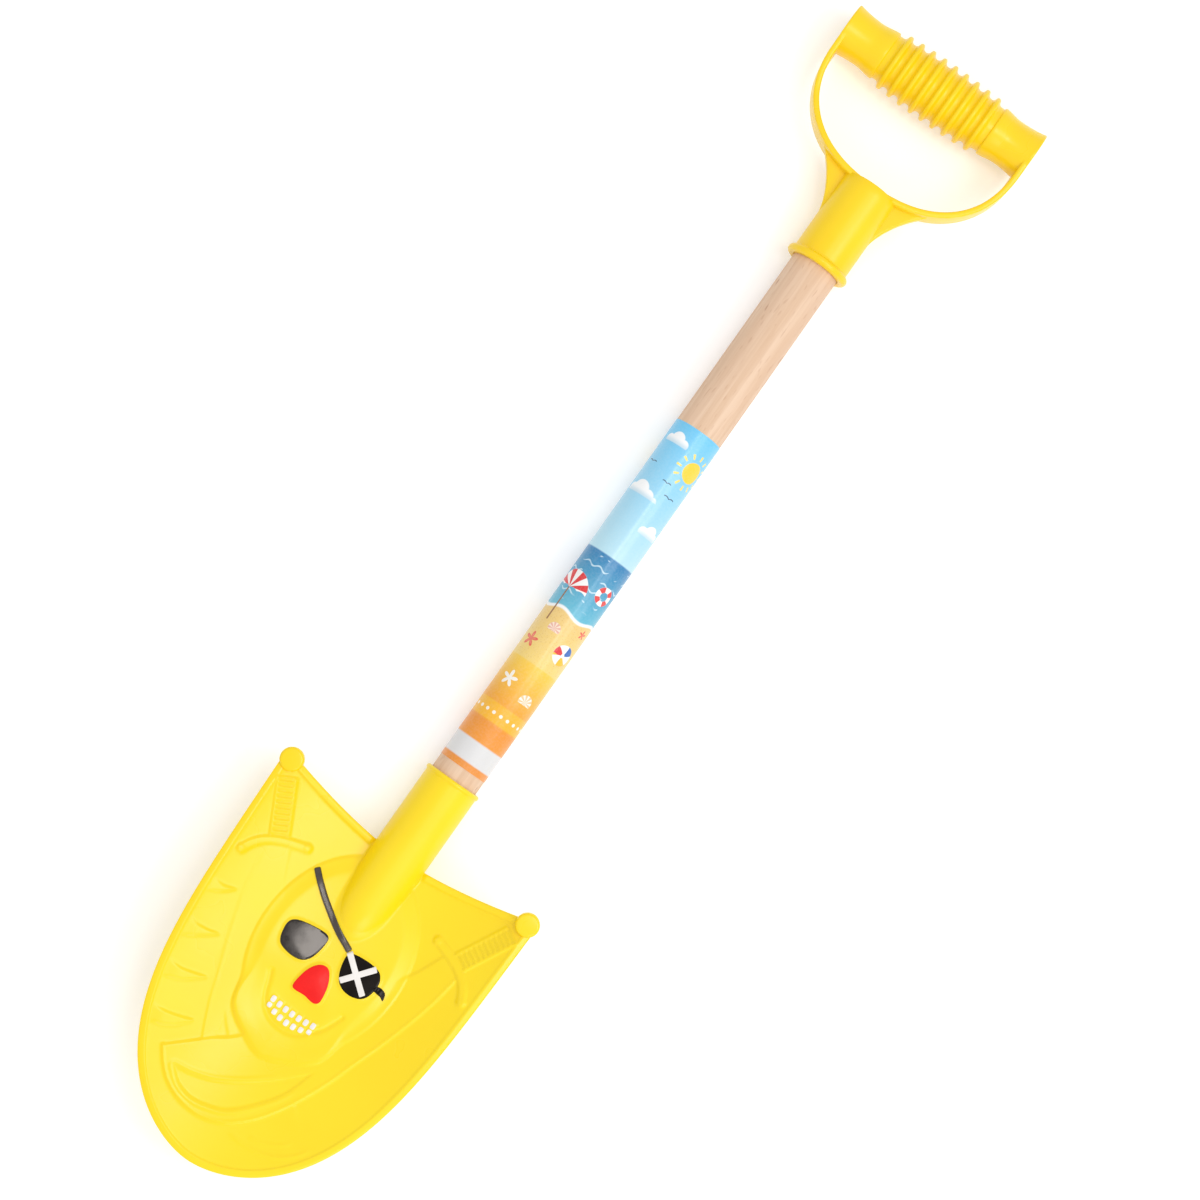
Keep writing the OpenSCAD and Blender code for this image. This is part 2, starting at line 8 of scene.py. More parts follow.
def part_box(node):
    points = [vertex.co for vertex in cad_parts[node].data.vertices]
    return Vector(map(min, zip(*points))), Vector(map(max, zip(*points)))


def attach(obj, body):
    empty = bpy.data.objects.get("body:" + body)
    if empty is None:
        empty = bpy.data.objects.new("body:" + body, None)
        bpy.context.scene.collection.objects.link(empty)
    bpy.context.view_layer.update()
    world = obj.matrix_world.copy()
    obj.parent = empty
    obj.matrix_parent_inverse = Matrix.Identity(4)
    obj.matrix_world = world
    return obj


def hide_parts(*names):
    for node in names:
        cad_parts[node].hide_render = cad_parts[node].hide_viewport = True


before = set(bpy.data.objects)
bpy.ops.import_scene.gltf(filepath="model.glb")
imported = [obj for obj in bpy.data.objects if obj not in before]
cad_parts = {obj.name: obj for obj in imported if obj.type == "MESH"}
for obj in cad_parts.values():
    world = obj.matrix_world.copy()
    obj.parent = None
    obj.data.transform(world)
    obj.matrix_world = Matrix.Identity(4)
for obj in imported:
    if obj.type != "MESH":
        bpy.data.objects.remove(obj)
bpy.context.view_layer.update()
print("frame loaded with", len(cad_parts), "nodes")

mm = 0.001
stickLow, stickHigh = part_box("stick")
stickInBlade = 60                       # length of stick inside the blade socket
axisZ = (stickLow.z + stickHigh.z) / 2
mouthY = stickLow.y + stickInBlade * mm
stickR = (stickHigh.x - stickLow.x) / 2 / mm


def laid(points):                       # millimetres on the shovel to metres in the frame
    return np.array(points, float) * mm + (0, mouthY, axisZ)


# Small helpers round the operators

def only(piece):
    if bpy.context.mode != "OBJECT":
        bpy.ops.object.mode_set(mode="OBJECT")
    bpy.ops.object.select_all(action="DESELECT")
    if piece:
        piece.select_set(True)
        bpy.context.view_layer.objects.active = piece


def added(name, primitive, **settings):  # a new primitive, the only thing selected
    only(None)
    primitive(**settings)
    piece = bpy.context.object
    piece.name = piece.data.name = name
    return piece


def grid(name, columns, rows):
    return added(name, bpy.ops.mesh.primitive_grid_add, x_subdivisions=columns, y_subdivisions=rows, size=2)


def openUp(piece):
    only(piece)
    bpy.ops.object.mode_set(mode="EDIT")
    bpy.ops.mesh.select_all(action="SELECT")


def closeUp():
    bpy.ops.object.mode_set(mode="OBJECT")


def faceOut():                          # every face of the open mesh points outwards
    bpy.ops.mesh.select_all(action="SELECT")
    bpy.ops.mesh.normals_make_consistent(inside=False)
    closeUp()


def modify(piece, kind, **settings):
    only(piece)
    step = piece.modifiers.new(kind.lower(), kind)
    for key, value in settings.items():
        setattr(step, key, value)
    bpy.ops.object.modifier_apply(modifier=step.name)


def combine(piece, other, operation):
    modify(piece, "BOOLEAN", operation=operation, object=other, solver="MANIFOLD")
    bpy.data.objects.remove(other)


def weld(piece, gap=0.002):
    openUp(piece)
    bpy.ops.mesh.remove_doubles(threshold=gap * mm)
    bpy.ops.mesh.delete_loose(use_verts=True, use_edges=True, use_faces=False)
    faceOut()


def smoothOff(piece, degrees):
    only(piece)
    bpy.ops.object.shade_smooth_by_angle(angle=math.radians(degrees))


def getPoints(piece):
    points = np.empty(len(piece.data.vertices) * 3)
    piece.data.vertices.foreach_get("co", points)
    return points.reshape(-1, 3)


def setPoints(piece, points):
    piece.data.vertices.foreach_set("co", np.asarray(points, float).ravel())
    piece.data.update()


def ring(name, points, fill="NOTHING"):
    piece = added(name, bpy.ops.mesh.primitive_circle_add, vertices=len(points), fill_type=fill)
    setPoints(piece, laid(points))
    return piece


def turned(name, outline, centre, axis, steps=96):
    # an outline of radius and place along the axis, spun all the way round
    sides = {"X": [(0, 0, 1), (1, 0, 0)], "Y": [(1, 0, 0), (0, 1, 0)], "Z": [(1, 0, 0), (0, 0, 1)]}
    out, along = np.array(sides[axis], float)
    piece = ring(name, [centre + radius * out + place * along for radius, place in outline])
    openUp(piece)
    bpy.ops.mesh.spin(steps=steps, angle=math.tau, center=tuple(laid(centre)), axis=tuple(along))
    closeUp()
    weld(piece)
    return piece


def rod(name, sides, radius, length, centre, roll, segments, tilt=0):
    # a round bar with bevelled ends
    piece = added(name, bpy.ops.mesh.primitive_cylinder_add, vertices=sides, radius=radius * mm,
                  depth=length * mm, location=laid(centre), rotation=(tilt, 0, 0))
    bpy.ops.object.transform_apply(location=True, rotation=True, scale=True)
    modify(piece, "BEVEL", width=roll * mm, segments=segments, limit_method="ANGLE")
    return piece


def loft(name, rows):
    # a grid primitive bent into rows of points that go all the way round
    rows = np.array(rows, float)
    rows = np.concatenate([rows, rows[:, :1]], axis=1)
    count, width = rows.shape[:2]
    piece = grid(name, width - 1, count - 1)
    setPoints(piece, laid(rows.reshape(-1, 3)))
    weld(piece)
    return piece


def finished(piece, node, slot, material, degrees=40):
    smoothOff(piece, degrees)
    piece.data.materials.clear()
    piece.data.materials.append(material)
    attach(piece, "root")
    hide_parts(node)
    print(piece.name, "has", sum(len(f.vertices) - 2 for f in piece.data.polygons), "triangles")


# Shader maths: a socket that takes part in Python sums

def bothWays(operation):                # an operator and its reflected form
    def plain(self, other):
        return self.math(operation, self, other)

    def reflected(self, other):
        return self.math(operation, other, self)

    return plain, reflected


class Value:
    def __init__(self, finish, socket):
        self.finish = finish
        self.socket = socket

    def math(self, operation, *inputs):
        return self.finish.node("ShaderNodeMath", {"operation": operation}, inputs)

    def __abs__(self):
        return self.math("ABSOLUTE", self)

    __add__, __radd__ = bothWays("ADD")
    __sub__, __rsub__ = bothWays("SUBTRACT")
    __mul__, __rmul__ = bothWays("MULTIPLY")
    __truediv__, __rtruediv__ = bothWays("DIVIDE")
    __pow__, __rpow__ = bothWays("POWER")


class Finish:
    def __init__(self, name, **settings):
        self.material = bpy.data.materials.new(name)
        self.material.use_nodes = True
        self.tree = self.material.node_tree
        self.shader = self.tree.nodes["Principled BSDF"]
        self.coords = self.node("ShaderNodeTexCoord", output="Object")
        self.set(**settings)

    def feed(self, socket, value):
        if isinstance(value, Value):
            self.tree.links.new(value.socket, socket)
        else:
            socket.default_value = value

    def node(self, kind, settings=None, inputs=(), output=0):
        step = self.tree.nodes.new(kind)
        for key, value in (settings or {}).items():
            if key == "stops":
                ramp = step.color_ramp.elements
                while len(ramp) < len(value):
                    ramp.new(1)
                for spot, (place, colour) in zip(ramp, value):
                    spot.position = place
                    spot.color = colour
            else:
                setattr(step, key, value)
        pairs = inputs.items() if isinstance(inputs, dict) else enumerate(inputs)
        for key, value in pairs:
            self.feed(step.inputs[key], value)
        return Value(self, step.outputs[output])

    def set(self, **values):
        for key, value in values.items():
            name = key.replace("_", " ").title().replace("Ior", "IOR")
            self.feed(self.shader.inputs[name], value)

    def mix(self, factor, first, second):
        return self.node("ShaderNodeMix", {"data_type": "RGBA"}, {0: factor, 6: first, 7: second}, output=2)

    def step(self, value, low, high, bottom=0.0, top=1.0):
        settings = {"interpolation_type": "SMOOTHSTEP"}
        return self.node("ShaderNodeMapRange", settings, [value, low, high, bottom, top])

    def noise(self, scale, detail=2.0, rough=0.5, coords=None):
        inputs = {"Vector": coords or self.coords, "Scale": scale, "Detail": detail, "Roughness": rough}
        return self.node("ShaderNodeTexNoise", None, inputs)

    def stretched(self, scale):         # coordinates scaled along each axis
        return self.node("ShaderNodeMapping", None, {"Vector": self.coords, "Scale": scale})

    def axes(self):                     # x, y and z in millimetres on the shovel
        inputs = {"Vector": self.coords, "Location": (0, -mouthY / mm, -axisZ / mm), "Scale": (1 / mm,) * 3}
        place = self.node("ShaderNodeMapping", None, inputs)
        return [self.node("ShaderNodeSeparateXYZ", None, [place], output=k) for k in range(3)]

    def bump(self, height, strength, distance):
        inputs = {"Height": height, "Strength": strength, "Distance": distance * mm}
        self.set(normal=self.node("ShaderNodeBump", None, inputs))


def tone(red, green, blue):             # a screen colour from 0 to 255 as the shader's own
    def straight(share):
        return share / 12.92 if share <= 0.04045 else ((share + 0.055) / 1.055) ** 2.4
    return tuple(straight(part / 255) for part in (red, green, blue)) + (1.0,)


# Plain curves and distances on the blade's face

def ease(share):
    share = np.clip(share, 0, 1)
    return share * share * (3 - 2 * share)


def smoothRun(points, steps=6, closed=False):
    # a smooth line through given points
    p = np.array(points, float)
    if closed:
        p = np.concatenate([p[-1:], p, p[:2]])
    else:
        p = np.concatenate([2 * p[:1] - p[1:2], p, 2 * p[-1:] - p[-2:-1]])
    run = []
    for a, b, c, d in zip(p[:-3], p[1:-2], p[2:-1], p[3:]):
        for u in np.arange(steps) / steps:
            run.append(0.5 * (2 * b + (c - a) * u + (2 * a - 5 * b + 4 * c - d) * u ** 2
                              + (3 * b - a - 3 * c + d) * u ** 3))
    if not closed:
        run.append(p[-2])
    return np.array(run)


def runAlong(path):                     # the path's length up to each of its points
    return np.concatenate([[0], np.cumsum(np.hypot(*np.diff(path, axis=0).T))])


def sideways(path):                     # directions square to a path
    way = np.gradient(path, axis=0)
    way /= np.hypot(way[:, 0], way[:, 1])[:, None]
    return np.column_stack([-way[:, 1], way[:, 0]])


def superRound(turns, power):           # points on a circle of radius 1, squared off by the power
    sides = np.stack([np.cos(turns), np.sin(turns)], 1)
    return np.sign(sides) * np.abs(sides) ** (2 / power)


def nearest(x, y, line):
    # distance of each point to a line, and the share of the line's length where that is
    best = np.full(x.shape, np.inf)
    where = np.zeros(x.shape)
    lengths = np.hypot(*np.diff(line, axis=0).T)
    start = np.concatenate([[0], np.cumsum(lengths)])
    for k, (a, b) in enumerate(zip(line[:-1], line[1:])):
        run = b - a
        share = np.clip(((x - a[0]) * run[0] + (y - a[1]) * run[1]) / max(run @ run, 1e-9), 0, 1)
        gap = np.hypot(x - a[0] - share * run[0], y - a[1] - share * run[1])
        closer = gap < best
        best = np.where(closer, gap, best)
        where = np.where(closer, (start[k] + share * lengths[k]) / start[-1], where)
    return best, where


def inside(x, y, outline):
    # distance to a closed outline, positive inside it
    line = np.concatenate([outline, outline[:1]])
    gap, _ = nearest(x, y, line)
    odd = np.zeros(x.shape, bool)
    for a, b in zip(line[:-1], line[1:]):
        spans = (a[1] > y) != (b[1] > y)
        rise = b[1] - a[1] if b[1] != a[1] else 1e-9
        odd ^= spans & (x < a[0] + (y - a[1]) / rise * (b[0] - a[0]))
    return np.where(odd, gap, -gap)


# Yellow plastics

def plastic(name, colour, warm, pale):
    finish = Finish(name, ior=1.49, specular_ior_level=0.5)
    cloud = finish.noise(22, 3.0, 0.55)
    flow = finish.noise(7, 2.0, 0.5, finish.stretched((1.0, 0.35, 1.0)))
    shade = finish.mix(finish.step(cloud, 0.35, 0.7), warm, colour)
    shade = finish.mix(finish.step(flow, 0.45, 0.75) * 0.45, shade, pale)
    speck = finish.noise(1500, 1.0, 0.5)
    finish.set(base_color=shade, roughness=finish.step(cloud, 0.3, 0.7, 0.26, 0.33))
    finish.bump(finish.noise(420, 3.0, 0.6) * 0.7 + speck * 0.3, 0.06, 0.2)
    return finish.material


bladeYellow = plastic("blade_plastic", tone(255, 223, 18), tone(255, 219, 13), tone(255, 228, 30))
handleYellow = plastic("handle_plastic", tone(255, 217, 18), tone(255, 212, 13), tone(255, 222, 28))
print("plastics mixed")

# Blade: the pan's outline and its plain hollow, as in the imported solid

pan = {
    "width": 139.8, "topEdge": -43.5, "length": 162.5, "topSag": 12.8, "topPower": 1.7,
    "taper": 6, "sidePower": 4.5, "tipPower": 1.82, "dish": 20, "dishFade": 0.35,
    "lift": 10, "drop": 1.5, "wall": 2.2, "rimWidth": 3.4, "rimRise": 0.6, "topRise": 0.8,
    "rimWall": 1.1, "rimShare": 0.1, "edgeRoll": 1.5, "edgeFall": 0.35, "edgeDrop": 0.2, "backRoll": 0.6,
    "columns": 260, "rows": 296, "backShare": 3, "merge": 0.004, "topSteps": 61, "sideSteps": 121,
    "sideCrowd": 0.1, "tipCrowd": 0.125, "crowdPower": 8,   # the mesh is finer near the rim
}
panHalf = pan["width"] / 2
cornerY = pan["topEdge"] + pan["topSag"]
tipY = pan["topEdge"] - pan["length"]
skull = {
    "mid": (0, -96), "width": 70.8, "height": 94.4, "rise": 1.4, "chinRise": 1.5, "dome": 2.2,
    "bevel": 6.8, "jawBevel": 1.6, "blend": 3, "soft": 0.1, "step": 0.5, "stepWidth": 1.3,
    "chinTop": -134, "chinBlend": 22, "cover": 1.6,
    "tiltFade": 9, "mouthMid": (0, -128), "mouthHalf": (24, 11), "mouthSink": 1.1,
    "browRise": 0.5, "browFrom": -124, "browBlend": 24,
    "jaw": [(26.6, -22), (26.6, -30), (26.2, -35.8), (24.6, -41.5), (22, -45), (17.8, -48.2),
            (11.5, -51.4), (5.5, -54.3), (0, -55.6)],
}
socket = {
    "radius": 13.6, "straight": 70, "nose": 22, "noseEnd": 0.9999, "bore": 12.1, "chamfer": 0.5,
    "beadRadius": 1.2, "beadRise": 0.75, "mouthRings": (2.6, 3, 4), "ringPitch": 4, "sides": 128,
    "stop": 1.5, "wall": 1.5, "fillet": 3.2, "inset": 0.3, "besideFall": 3, "rimGap": 1, "rimFade": 3,
}
stud = {"radius": 5.7, "height": 7.5, "inset": 4.5, "drop": 3.5, "roll": 1.5, "sides": 72}
overrun = 2                             # how far a cutter reaches past the face that it opens


def sideHalf(t):
    arc = np.maximum(0, 1 - t ** pan["sidePower"]) ** (1 / pan["tipPower"])
    return (panHalf - pan["taper"] * t) * arc


def topEdge(x):
    return pan["topEdge"] + pan["topSag"] * (np.abs(x) / panHalf) ** pan["topPower"]


def baseZ(x, y):
    down = pan["topEdge"] - y
    fade = np.clip(down / pan["length"], 0, 1)
    hollow = pan["dish"] * (1 - pan["dishFade"] * fade) * (x / panHalf) ** 2
    return math.tan(math.radians(pan["lift"])) * down - pan["drop"] + hollow


def panPlace(across, down):
    # a share from side to side and from the top edge to the tip, as x and y
    side, tip = pan["sideCrowd"], pan["tipCrowd"]
    across = (1 - side) * across + side * np.sin(across * math.pi / 2)
    t = (1 + tip) * down - tip * down ** pan["crowdPower"]
    x = across * sideHalf(t)
    sag = (1 - t) ** 2 * (cornerY - topEdge(across * panHalf))
    return x, cornerY - (cornerY - tipY) * t - sag


rightX, rightY = panPlace(np.ones(pan["sideSteps"]), np.linspace(0, 1, pan["sideSteps"]))
topX, topY = panPlace(np.linspace(-1, 1, pan["topSteps"]), np.zeros(pan["topSteps"]))
panRim = np.concatenate([np.stack([topX, topY], 1), np.stack([rightX, rightY], 1)[1:],
                         np.stack([-rightX, rightY], 1)[::-1][1:-1]])


def softLine(gap, spread):
    return np.exp(-(gap / spread) ** 2)


def smoothHigher(a, b, width):
    share = np.clip(0.5 + 0.5 * (b - a) / width, 0, 1)
    return a + (b - a) * share + width * share * (1 - share)


def skullEdge(dx, dy):
    # distance from the skull's middle to its edge in a direction
    brow = 1 / np.maximum(np.hypot(dx / (skull["width"] / 2), dy / (skull["height"] / 2)), 1e-9)
    chin = np.zeros(brow.shape)
    jaw = smoothRun(skull["jaw"], 2)
    for (ax, ay), (bx, by) in zip(jaw[:-1], jaw[1:]):
        ex, ey = bx - ax, by - ay
        cross = np.abs(dx) * ey - dy * ex
        cross = np.where(np.abs(cross) < 1e-9, 1e-9, cross)
        share = (ax * dy - ay * np.abs(dx)) / cross
        reach = (ax * ey - ay * ex) / cross
        chin = np.where((share >= -1e-6) & (share <= 1 + 1e-6), np.maximum(chin, reach), chin)
    return smoothHigher(brow, chin, skull["blend"])


def skullReach(x, y):
    # distance of each point from the skull's middle, and of the skull's edge in that direction
    dx, dy = x - skull["mid"][0], y - skull["mid"][1]
    r = np.maximum(np.hypot(dx, dy), 1e-6)
    return r, skullEdge(dx / r, dy / r)


def skullRelief(x, y, inset=0):
    r, edge = skullReach(x, y)
    up = ease((y - skull["chinTop"]) / skull["chinBlend"])
    bevel = skull["jawBevel"] + (skull["bevel"] - skull["jawBevel"]) * up
    rise = skull["chinRise"] + (skull["rise"] - skull["chinRise"]) * up
    depth = edge - inset - r
    slope = 1 - smoothHigher(1 - smoothHigher(depth / bevel, 0, skull["soft"]), 0, skull["soft"])
    slope = skull["step"] * ease(depth / skull["stepWidth"] + 0.5) + (1 - skull["step"]) * slope
    return slope * (rise + skull["dome"] * np.maximum(0, 1 - (r / edge) ** 2))


def skullTilt(x, y):
    # the cheeks and the brow stand a little higher than the mouth
    r, edge = skullReach(x, y)
    mid, half = skull["mouthMid"], skull["mouthHalf"]
    mouth = softLine(np.hypot((x - mid[0]) / half[0], (y - mid[1]) / half[1]), 1)
    brow = ease((y - skull["browFrom"]) / skull["browBlend"])
    return ease((edge - r) / skull["tiltFade"]) * (skull["browRise"] * brow - skull["mouthSink"] * mouth)


# Carving on the face, as listed points

face = {
    "eye": [(-24.5, -95.8), (-23.5, -93.4), (-21, -91.8), (-17.7, -90.9), (-13.5, -90.2), (-9.1, -89.8),
            (-6, -90.1), (-4.5, -92), (-4.7, -96.8), (-5.6, -101), (-7.1, -103.9), (-9.6, -105.9),
            (-13.5, -106.7), (-17.8, -106.3), (-21.5, -105), (-23.4, -102.4), (-24.3, -98.8)],
    "patch": [(6.2, -92.9), (6.9, -97.7), (8.3, -101.4), (10.5, -104.4), (13.5, -106.1), (16.9, -106.6),
              (19.8, -106.2), (22.8, -104.9), (24.9, -102.2), (25.9, -98), (25.8, -94.5), (24.7, -92.1),
              (23, -90.4), (20.5, -89.6), (16.5, -89.3), (12.7, -89.5), (10.3, -89.8), (7.6, -90.6)],
    "nose": [(0.8, -101.8), (3.4, -102.3), (5.5, -104.8), (7.4, -108.8), (8.4, -113.5), (8.5, -116.7),
             (7.2, -118.3), (5, -118.6), (0.9, -118), (-3.5, -118.3), (-5.6, -117.9), (-6.3, -116.2),
             (-6, -112.7), (-5.1, -108.5), (-3.6, -105.2), (-1.6, -102.9)],
    "strap": [(-28, -68.1), (-23.5, -72.1), (-17, -77.2), (-10.6, -81.5), (-5.4, -84.8), (-1, -87.2),
              (3.1, -89), (6.2, -90.5)],
    "strapHalf": 1.6, "strapRise": 0.85, "strapPower": 5, "tailFrom": 16.2,
    "tail": [(25, -98.4), (25.3, -96.4), (27.4, -95.7), (30.5, -96.7), (31.5, -100), (29.7, -99.2),
             (27.6, -98.9)],
    "cross": [((6.4, -90.6), (22.7, -103.4)), ((10.1, -103.5), (21.1, -90))],
    "crossHalf": 1.6, "crossOver": 0.25, "crossRise": 0.35, "crossRoll": 0.5,
    "mouth": [(-17.8, -117.6), (-16, -121.7), (-14.4, -126.1), (-11.6, -130.8), (-6, -134.8), (1.4, -136),
              (8.2, -134.2), (13.2, -129.6), (16.7, -125.5), (19.2, -120.4), (20.8, -116.4)],
    "teeth": 7, "toothMid": 1.35, "toothPitch": 3.62, "toothWidth": 2.3, "toothHeight": 3.05,
    "upperRow": -127.9, "lowerRow": -132.5, "upperSmile": 0.95, "lowerSmile": 2.35, "shorter": 0.7,
    "toothSides": 28, "toothPower": 3.4,
    "toothPad": 0.35, "toothReach": 1.35, "toothFade": 0.35, "mouthDepth": 0.75, "mouthSpread": 1.0,
    "pads": {"eye": 0.55, "patch": 0.7, "nose": 0.9}, "padSoft": 0.9,
    "films": {                          # height at the edge, crown, and the crown's fall along x and y
        "eye": (0.14, 0.4, (1, 0.3)), "patch": (0.14, 0.35), "nose": (0.14, 0.6),
        "teeth": (0.12, 0.15), "tail": (0.35, 0.1),
    },
}
sword = {
    "hilt": [(62.4, -42), (50.2, -65.6)], "hiltHalf": 4.6, "border": 0.9, "ribs": 10.5,
    "guard": [(36.5, -63.7), (41, -65), (45.5, -66.4), (50.2, -68.4), (54.4, -71.1), (58, -74.9),
              (60.5, -79.6)],
    "guardHalf": 2.3, "knob": 2.8,
    "edge": [(53.1, -73.4), (50.8, -86.6), (47.3, -100.4), (42.1, -116.6), (36.4, -132.2), (32.7, -142.9),
             (25.6, -158.4), (17.1, -171.9), (8.8, -180.6), (1.3, -185.2), (-8, -187.3), (-18.4, -186.2),
             (-27, -182.5), (-33.2, -177.2), (-38.4, -170.6)],
    "back": [(-38.4, -170.6), (-30.1, -163.4), (-22.1, -156.4), (-12.2, -148.5), (4, -129), (22, -105),
             (33, -87), (37.1, -80.1), (39.7, -74.4), (42.6, -67.8)],
    "fuller": [(24.3, -144.1), (16.9, -151.6), (9.6, -158.4), (0.2, -165.5), (-10.1, -171.3),
               (-19.9, -174.3), (-28.6, -175.4)],
    "bevel": [(-28.6, -175.4), (-22, -180.6), (-13.3, -182.6), (-3.2, -180.6), (3, -177.6), (10.8, -169.9),
              (19.3, -158.2), (24.3, -144.1)],
    "rise": 0.7, "soft": 1.4, "ridge": 0.4, "ridgeSpread": 0.8, "hollow": 0.55,
    "lip": 0.22, "lipOut": 1.6, "lipFrom": -150, "lipBlend": 14,
    "hiltRise": 0.8, "hiltStart": 0.5, "hiltOver": 1, "ribRise": 0.42, "ribSink": 0.6, "ribSharp": 1.6,
    "guardRise": 1.0, "guardSoft": 1.3, "guardOut": 0.2, "knobRise": 1.3, "knobSoft": 1.9, "knobOut": 0.1,
    "farShare": 0.32, "farFrom": -172, "farBlend": 16,
    "tipRises": (0.3, 0.2), "tipSpread": 0.9, "tipFade": 0.15,
}
farTip = [                              # what shows of the other cutlass past this one's edge
    [(7.9, -185.9), (17.8, -186.4), (26.8, -185), (34.1, -181.6), (40, -176.2), (44, -169.9)],
    [(16.3, -182.4), (24, -181.2), (31, -177.4), (35.3, -173.2)],
]
thorn = {"rise": 0.66, "out": 0.4, "soft": 1.3, "rimGap": 3, "rimFade": 8}
thorns = [
    [(-67, -97), (-61.6, -97.2), (-57.2, -97.5), (-51.6, -96.2), (-55.7, -100.4), (-60.7, -103.1),
     (-66, -106)],
    [(-66, -114.5), (-60.9, -116.3), (-57.7, -118), (-52.5, -117.8), (-46, -117), (-52.6, -122.2),
     (-58.6, -125.7), (-64, -128.5)],
    [(-62, -135.5), (-56.9, -137.3), (-51.7, -138.1), (-45.5, -136.9), (-39.3, -135.6), (-43.6, -139.7),
     (-48.3, -142.9), (-54, -144.9), (-60, -146.5)],
    [(-55, -157.5), (-49.4, -157.8), (-44, -157.2), (-38.1, -155.7), (-32.9, -154.4), (-37.4, -160),
     (-42.1, -163.1), (-47.4, -164.8), (-53, -166)],
]


def swordRelief(x, y):
    # one cutlass with its hilt on the right: the blade's share, its height, the hilt's height
    soft = sword["soft"]
    edge = smoothRun(sword["edge"])
    depth = inside(x, y, np.concatenate([edge, smoothRun(sword["back"])[1:]]))
    share = ease((depth + soft / 2) / soft)
    gap, _ = nearest(x, y, edge)
    height = sword["rise"] * share + sword["ridge"] * softLine(gap, sword["ridgeSpread"])
    hollow = inside(x, y, np.concatenate([smoothRun(sword["fuller"]), smoothRun(sword["bevel"])[1:-1]]))
    height = height - sword["hollow"] * ease((hollow + soft / 2) / soft)
    lip = softLine(hollow + sword["lipOut"], sword["ridgeSpread"])
    height = height + sword["lip"] * lip * ease((sword["lipFrom"] - y) / sword["lipBlend"])
    start, end = np.array(sword["hilt"], float)
    length = np.hypot(*(end - start))
    way = (end - start) / length
    along = (x - start[0]) * way[0] + (y - start[1]) * way[1]
    off = np.abs((x - start[0]) * way[1] - (y - start[1]) * way[0])
    within = ease(along + sword["hiltStart"]) * ease(length + sword["hiltOver"] - along)
    grip = ease(sword["hiltHalf"] - off + 0.5)
    turn = np.clip(sword["ribSharp"] * np.cos(along / length * sword["ribs"] * math.tau), -1, 1)
    inner = ease((sword["hiltHalf"] - sword["border"] - off) / sword["border"])
    hilt = within * grip * (sword["hiltRise"] + sword["ribRise"] * inner * (turn - sword["ribSink"]))
    guard = smoothRun(sword["guard"])
    gap, _ = nearest(x, y, guard)
    bar = sword["guardRise"] * ease((sword["guardHalf"] - gap) / sword["guardSoft"] + sword["guardOut"])
    for tip in (guard[0], guard[-1]):
        gap = np.hypot(x - tip[0], y - tip[1])
        ball = ease((sword["knob"] - gap) / sword["knobSoft"] + sword["knobOut"])
        bar = np.maximum(bar, sword["knobRise"] * ball)
    return share, height, np.maximum(hilt, bar)


def thornRelief(x, y):
    total = np.zeros(x.shape)
    for outline in thorns:
        depth = inside(x, y, smoothRun(outline, closed=True))
        total = np.maximum(total, thorn["rise"] * ease((depth + thorn["out"]) / thorn["soft"]))
    fromSide = sideHalf(np.clip((cornerY - y) / (cornerY - tipY), 0, 1)) - np.abs(x)
    return total * ease((fromSide - thorn["rimGap"]) / thorn["rimFade"])


def toothPlaces():
    half = (face["teeth"] - 1) / 2
    for k in np.arange(face["teeth"]) - half:
        bend = (k / half) ** 2
        x, height = face["toothMid"] + k * face["toothPitch"], face["toothHeight"]
        yield x, face["upperRow"] + bend * face["upperSmile"], height
        yield x, face["lowerRow"] + bend * face["lowerSmile"], height - bend * face["shorter"]


def carving(x, y):
    # everything raised or cut on the face above the skull's plain form
    _, leftBlade, leftHilt = swordRelief(-x, y)
    over, rightBlade, rightHilt = swordRelief(x, y)
    far = ease((y - sword["farFrom"]) / sword["farBlend"])
    blades = rightBlade + sword["farShare"] * (1 - over) * leftBlade * far
    for arc, rise in zip(farTip, sword["tipRises"]):
        gap, along = nearest(x, y, smoothRun(arc))
        ends = ease(along / sword["tipFade"]) * ease((1 - along) / sword["tipFade"])
        blades = blades + rise * softLine(gap, sword["tipSpread"]) * (1 - over) * ends
    floor = np.maximum.reduce([blades, leftHilt, rightHilt, thornRelief(x, y)])
    total = floor * (1 - ease(skullRelief(x, y) / skull["cover"]))
    gap, _ = nearest(x, y, smoothRun(face["mouth"]))
    total = total - face["mouthDepth"] * softLine(gap, face["mouthSpread"])
    for key, rise in face["pads"].items():
        depth = inside(x, y, smoothRun(face[key], closed=True))
        total = total + rise * ease((depth + face["padSoft"]) / face["padSoft"])
    for tx, ty, height in toothPlaces():
        away = np.maximum(np.abs(x - tx) / (face["toothWidth"] / 2), np.abs(y - ty) / (height / 2))
        total = total + face["toothPad"] * ease((face["toothReach"] - away) / face["toothFade"])
    return total


def tubeTop(x, y):
    # the upper side of the socket, a little inside it, and falling away beside it
    past = np.clip((-y - socket["straight"]) / socket["nose"], 0, socket["noseEnd"])
    radius = (socket["radius"] - socket["inset"]) * np.sqrt(1 - past ** 2)
    out = np.abs(x) - radius
    return np.where(out < 0, np.sqrt(np.maximum(radius ** 2 - x ** 2, 0)), -socket["besideFall"] * out)


def faceZ(x, y):
    plain = baseZ(x, y) + skullRelief(x, y) + skullTilt(x, y) + carving(x, y)
    return smoothHigher(plain, tubeTop(x, y), socket["fillet"])


rimLine = np.concatenate([panRim, panRim[:1]])
rimRun = runAlong(rimLine)
rimOut = np.gradient(rimLine, axis=0)[:, ::-1] * (-1, 1)


